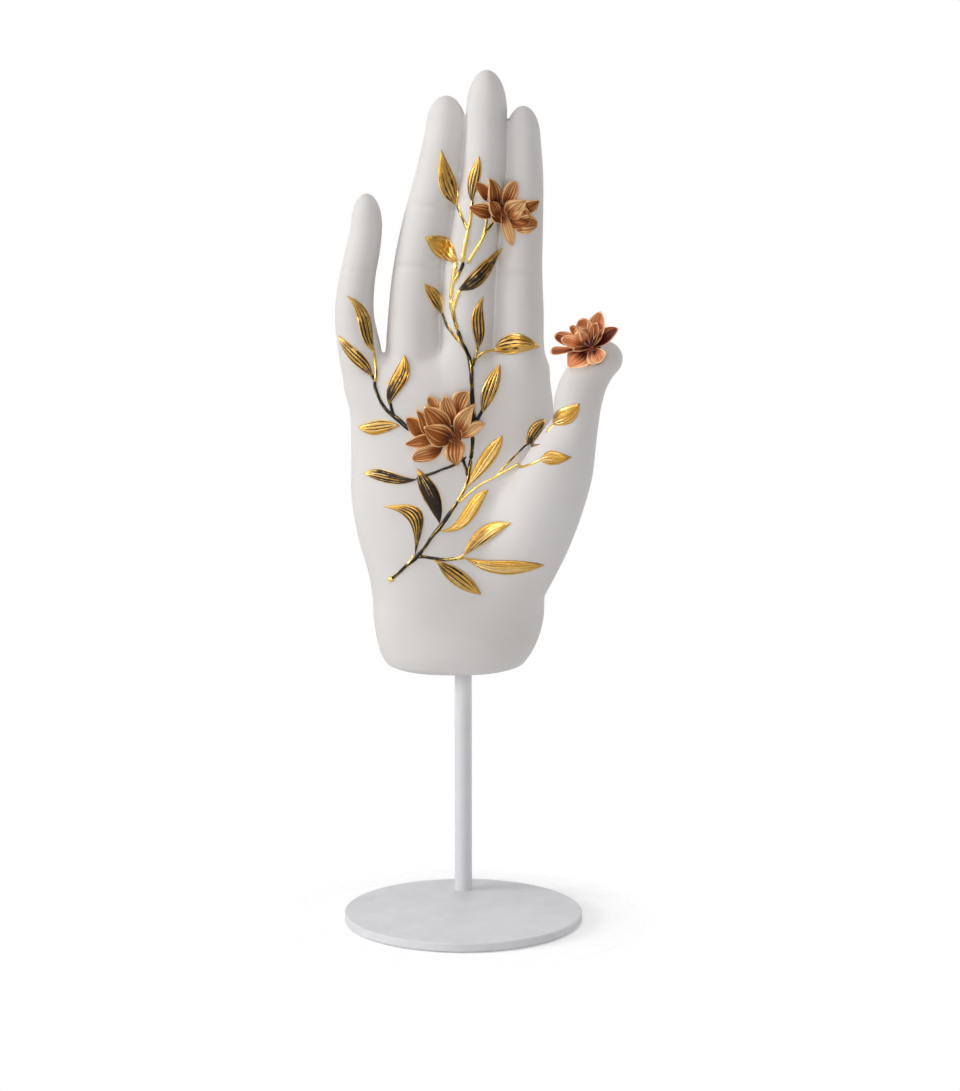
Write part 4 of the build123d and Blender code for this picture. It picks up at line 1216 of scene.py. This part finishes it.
# Flowers in relief
for centre_shares, width, layers in (palm_flower, finger_flower):
    centre = spot(*centre_shares)
    for number, (name, petals) in enumerate(layers.items()):
        level = petal_relief + petal_step * (len(layers) - 1 - number)
        forms = []
        for petal in petals:
            base = centre + np.array(petal[0:2]) * width
            tip = centre + np.array(petal[2:4]) * width
            forms.append(petal_form(base, tip, petal[4:8], level, petal[8]))
        add_piece(name + "_modelled", name, "copper_petal_lustre", *joined(forms))

# Open flower on the thumb
thumb = digits["thumb"]
seat_row = thumb.rows[thumb_ring_row]
seat_centre = thumb.root + np.array([seat_row[1], -seat_row[2], seat_row[0]]) * thumb.length
flower_axis = flower_axis / np.linalg.norm(flower_axis)
flower_hub = seat_centre + flower_axis * (seat_row[4] * thumb.width + flower_rise)
flower_hub[2] -= flower_drop
flower_right = np.array([1.0, 0.0, 0.0]) - flower_axis * flower_axis[0]
flower_right /= np.linalg.norm(flower_right)
flower_up = np.cross(flower_axis, flower_right)
flower_frame = np.stack([flower_right, flower_up, flower_axis])


def in_flower(points):
    """Points of the flower's own frame placed on the thumb."""
    return flower_hub + points @ flower_frame


def open_petal(angle, reach, height, width, belly, point, roll, sag, darkness):
    """A petal as a thin lens in section. Its midline is a quadratic curve from the hub to its tip,
    its half width a sine raised to a power, with its peak at the belly, and across it the skin
    follows an arc that rolls up by an angle at each rim. The more it rolls, the deeper is the
    hollow of its upper face, and the darker its painted shade there."""
    along = (1 - np.cos(np.linspace(0, np.pi, open_rows))) / 2
    turn = np.linspace(0, 2 * np.pi, open_columns, endpoint=False)
    along, turn = np.meshgrid(along, turn, indexing="ij")
    across = np.cos(turn)
    bend_out, bend_up = 0.6 * reach, 0.5 * height - sag
    out = 2 * along * (1 - along) * bend_out + along**2 * reach
    up = 2 * along * (1 - along) * bend_up + along**2 * height
    slope_out = 2 * (1 - 2 * along) * bend_out + 2 * along * reach
    slope_up = 2 * (1 - 2 * along) * bend_up + 2 * along * height
    steep = np.hypot(slope_out, slope_up)
    peak = math.log(0.5) / math.log(belly)
    half = width / 2 * np.clip(np.sin(np.pi * along**peak), 0, 1) ** point
    half = half + foot_share * width * (1 - along) ** 3 * np.sqrt(along)
    rim = math.radians(roll)
    side = half * np.sin(rim * across) / rim
    ruffle = ruffle_height * np.sin(along * 9 + angle) * np.abs(across) ** 3 * half / width
    lens = petal_thickness / 2 * np.sign(np.sin(turn)) * np.abs(np.sin(turn)) ** 0.5
    lens = lens * rounded_edge(2 * along - 1, 10)
    rise = half * (1 - np.cos(rim * across)) / rim + ruffle + lens
    out = out - rise * slope_up / steep
    up = up + rise * slope_out / steep
    around = math.radians(angle)
    spun = np.stack([
        out * math.cos(around) - side * math.sin(around),
        out * math.sin(around) + side * math.cos(around),
        up,
    ], -1)
    # Depth of the upper face's hollow, darkened by the finish as painted shade
    hollow = petal_hollow_shade * rim * (1 - across**2) * np.clip(np.sin(turn), 0, 1)
    return closed_form(in_flower(spun), marks_of(along, across, darkness, hollow))


def turned_form(profile, columns=48, wave=None):
    """A round form about the flower's axis: profile holds radius and height from pole to pole."""
    turn = np.linspace(0, 2 * np.pi, columns, endpoint=False)
    radius, turn = np.meshgrid(profile[:, 0], turn, indexing="ij")
    height = np.broadcast_to(profile[:, 1][:, None], radius.shape)
    if wave is not None:
        radius = radius * (1 + wave(turn, height))
    return np.stack([radius * np.cos(turn), radius * np.sin(turn), height], -1), turn


def bud_form():
    """An egg with six soft lobes that wind a little round it, as its folded petals do."""
    angle, out, height = bud_place
    radius, tall = bud_radii
    latitude = np.linspace(-np.pi / 2, np.pi / 2, 40)
    profile = np.stack([radius * np.cos(latitude), tall * np.sin(latitude)], 1)

    def lobes(turn, level):
        wind = turn * 3 + level / tall * 1.5
        return lobe_share * (np.abs(np.cos(wind)) - 0.5) * np.clip((level + tall) / tall, 0, 1)

    points, turn = turned_form(profile, 48, lobes)
    points[..., 0] += out * math.cos(math.radians(angle))
    points[..., 1] += out * math.sin(math.radians(angle))
    points[..., 2] += height
    along = np.linspace(0.3, 0.8, len(profile))[:, None]
    return closed_form(in_flower(points), marks_of(along, np.sin(turn * 3) * 0.7, 0.50))


def calyx_form():
    """A stalk that flares from the thumb's skin to the underside of the flower."""
    foot = -flower_rise - calyx_sink
    level = np.linspace(0, 1, 24)
    radius = calyx_radius * (1 + 0.5 * (2 * level - 1) ** 4)
    profile = np.stack([radius, foot + (calyx_top - foot) * level], 1)
    profile = np.concatenate([[[0, foot]], profile, [[0, calyx_top]]])
    points, turn = turned_form(profile, 40)
    return closed_form(in_flower(points), marks_of(0.3, np.sin(turn * 4) * 0.6, 0.5))


for name, form in {
    "thumb_flower_outer_petals": joined([open_petal(*petal) for petal in outer_petals]),
    "thumb_flower_inner_petals": joined([open_petal(*petal) for petal in inner_petals]),
    "thumb_flower_bud": bud_form(),
    "thumb_flower_calyx": calyx_form(),
}.items():
    add_piece(name + "_modelled", name, "amber_petal_lustre", *form)


# Studio
# How far the table reaches, where it fades round the stand, in metres, and its own light
floor_half = 1.6
floor_fade = (0.060, 0.095)
floor_glow = 0.28
# How bright the surroundings are as light and in reflections
world_light = (0.45, 1.20)
# What every lamp faces, then for each its place, width and power, in metres and watts
lamp_aim = (0.0, 0.0, 0.2)
lamps = {
    "side": ((-1.55, -0.30, 0.70), 0.6, 11.0),
    "front": ((-0.10, -2.10, 0.85), 0.5, 10.5),
    "top": ((-0.20, -0.30, 1.60), 0.9, 5.5),
    "rim": ((1.15, 0.65, 0.35), 0.7, 5.0),
}
# The photograph's viewpoint: 2.2 m in front, a little above the fingertips, looking down
camera_place = (0.0078, -2.2, 0.632)
camera_tilt = 11.68
camera_lens = 162.5


def blended(tree, factor, first, second):
    """One shader laid over another by a factor."""
    links = {"Fac": factor, 1: second.outputs[0], 2: first.outputs[0]}
    return add(tree, "MixShader", links=links).outputs[0]


def pale_floor():
    """A white table that takes the stand's shadow and fades into the white background."""
    mesh = bpy.data.meshes.new("floor")
    corners = [(-1, -1, 0), (1, -1, 0), (1, 1, 0), (-1, 1, 0)]
    mesh.from_pydata((np.array(corners) * floor_half).tolist(), [], [(0, 1, 2, 3)])
    material = bpy.data.materials.new("white_table")
    material.use_nodes = True
    tree = material.node_tree
    tree.nodes.clear()
    seen = add(tree, "LightPath").outputs["Is Camera Ray"]
    white = add(tree, "BsdfDiffuse", {"Color": linear("#FAFAFA")})
    glow = add(tree, "Emission", {"Color": linear("#FFFFFF")},
               {"Strength": arithmetic(tree, "MULTIPLY", seen, floor_glow)})
    lit = add(tree, "AddShader", links={0: white.outputs[0], 1: glow.outputs[0]})
    place = add(tree, "TexCoord").outputs["Object"]
    length = add(tree, "VectorMath", {"operation": "LENGTH"}, {0: place}).outputs["Value"]
    fade = arithmetic(tree, "MULTIPLY", between(tree, length, *floor_fade), seen)
    surface = blended(tree, fade, add(tree, "BsdfTransparent"), lit)
    add(tree, "OutputMaterial", links={"Surface": surface})
    mesh.materials.append(material)
    placed("floor", mesh)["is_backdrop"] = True


def studio_world():
    """Soft surroundings: pale above and to the left, dark low on the right, much brighter in
    reflections than as light, and plain white where the camera looks straight at them."""
    world = bpy.data.worlds.new("studio")
    bpy.context.scene.world = world
    world.use_nodes = True
    tree = world.node_tree
    tree.nodes.clear()
    direction = add(tree, "TexCoord").outputs["Generated"]
    parts = add(tree, "SeparateXYZ", links={"Vector": direction}).outputs
    level = weigh(tree, 0.5, (parts["Z"], 0.20, 0), (parts["X"], -0.42, 0),
                  (between(tree, parts["Y"], 0.0, 0.8), 0.35, 0), clamp=True)
    soft = ramp(tree, level, [(0.0, "#3E3D3F"), (0.5, "#A6A5A7"), (1.0, "#F2F2F2")])
    mirrored = ramp(tree, level, [(0.12, "#1E1A16"), (0.5, "#94918E"), (0.8, "#FFFFFF")])
    ray = add(tree, "LightPath").outputs
    shade = mixed(tree, ray["Is Glossy Ray"], soft, mirrored)
    strength = spread(tree, ray["Is Glossy Ray"], *world_light)
    around = add(tree, "Background", links={"Color": shade, "Strength": strength})
    seen = add(tree, "Background", {"Color": linear("#FFFFFF"), "Strength": 1.0})
    surface = blended(tree, ray["Is Camera Ray"], seen, around)
    add(tree, "OutputWorld", links={"Surface": surface})


def soft_lamp(name, place, size, power):
    """A square soft box at a place, turned to face the aim of all lamps."""
    lamp = bpy.data.lights.new(name, "AREA")
    lamp.size = size
    lamp.energy = power
    holder = placed(name, lamp)
    across, ahead, up = np.array(lamp_aim) - np.array(place)
    holder.location = place
    tilt = math.atan2(math.hypot(across, ahead), -up)
    holder.rotation_euler = (tilt, 0, math.atan2(ahead, across) - math.pi / 2)


def photo_camera():
    camera = bpy.data.cameras.new("camera")
    camera.sensor_width = 36.0
    camera.lens = camera_lens
    holder = placed("camera", camera)
    holder.location = camera_place
    holder.rotation_euler = (math.radians(90 - camera_tilt), 0, 0)
    bpy.context.scene.camera = holder


pale_floor()
studio_world()
for name, lamp in lamps.items():
    soft_lamp(name, *lamp)
photo_camera()
bpy.context.scene.view_settings.view_transform = "Standard"

visual_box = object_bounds()
boxes = {"cad": cad_box, "visual": visual_box}
{key: [list(corner) for corner in box] for key, box in boxes.items()}
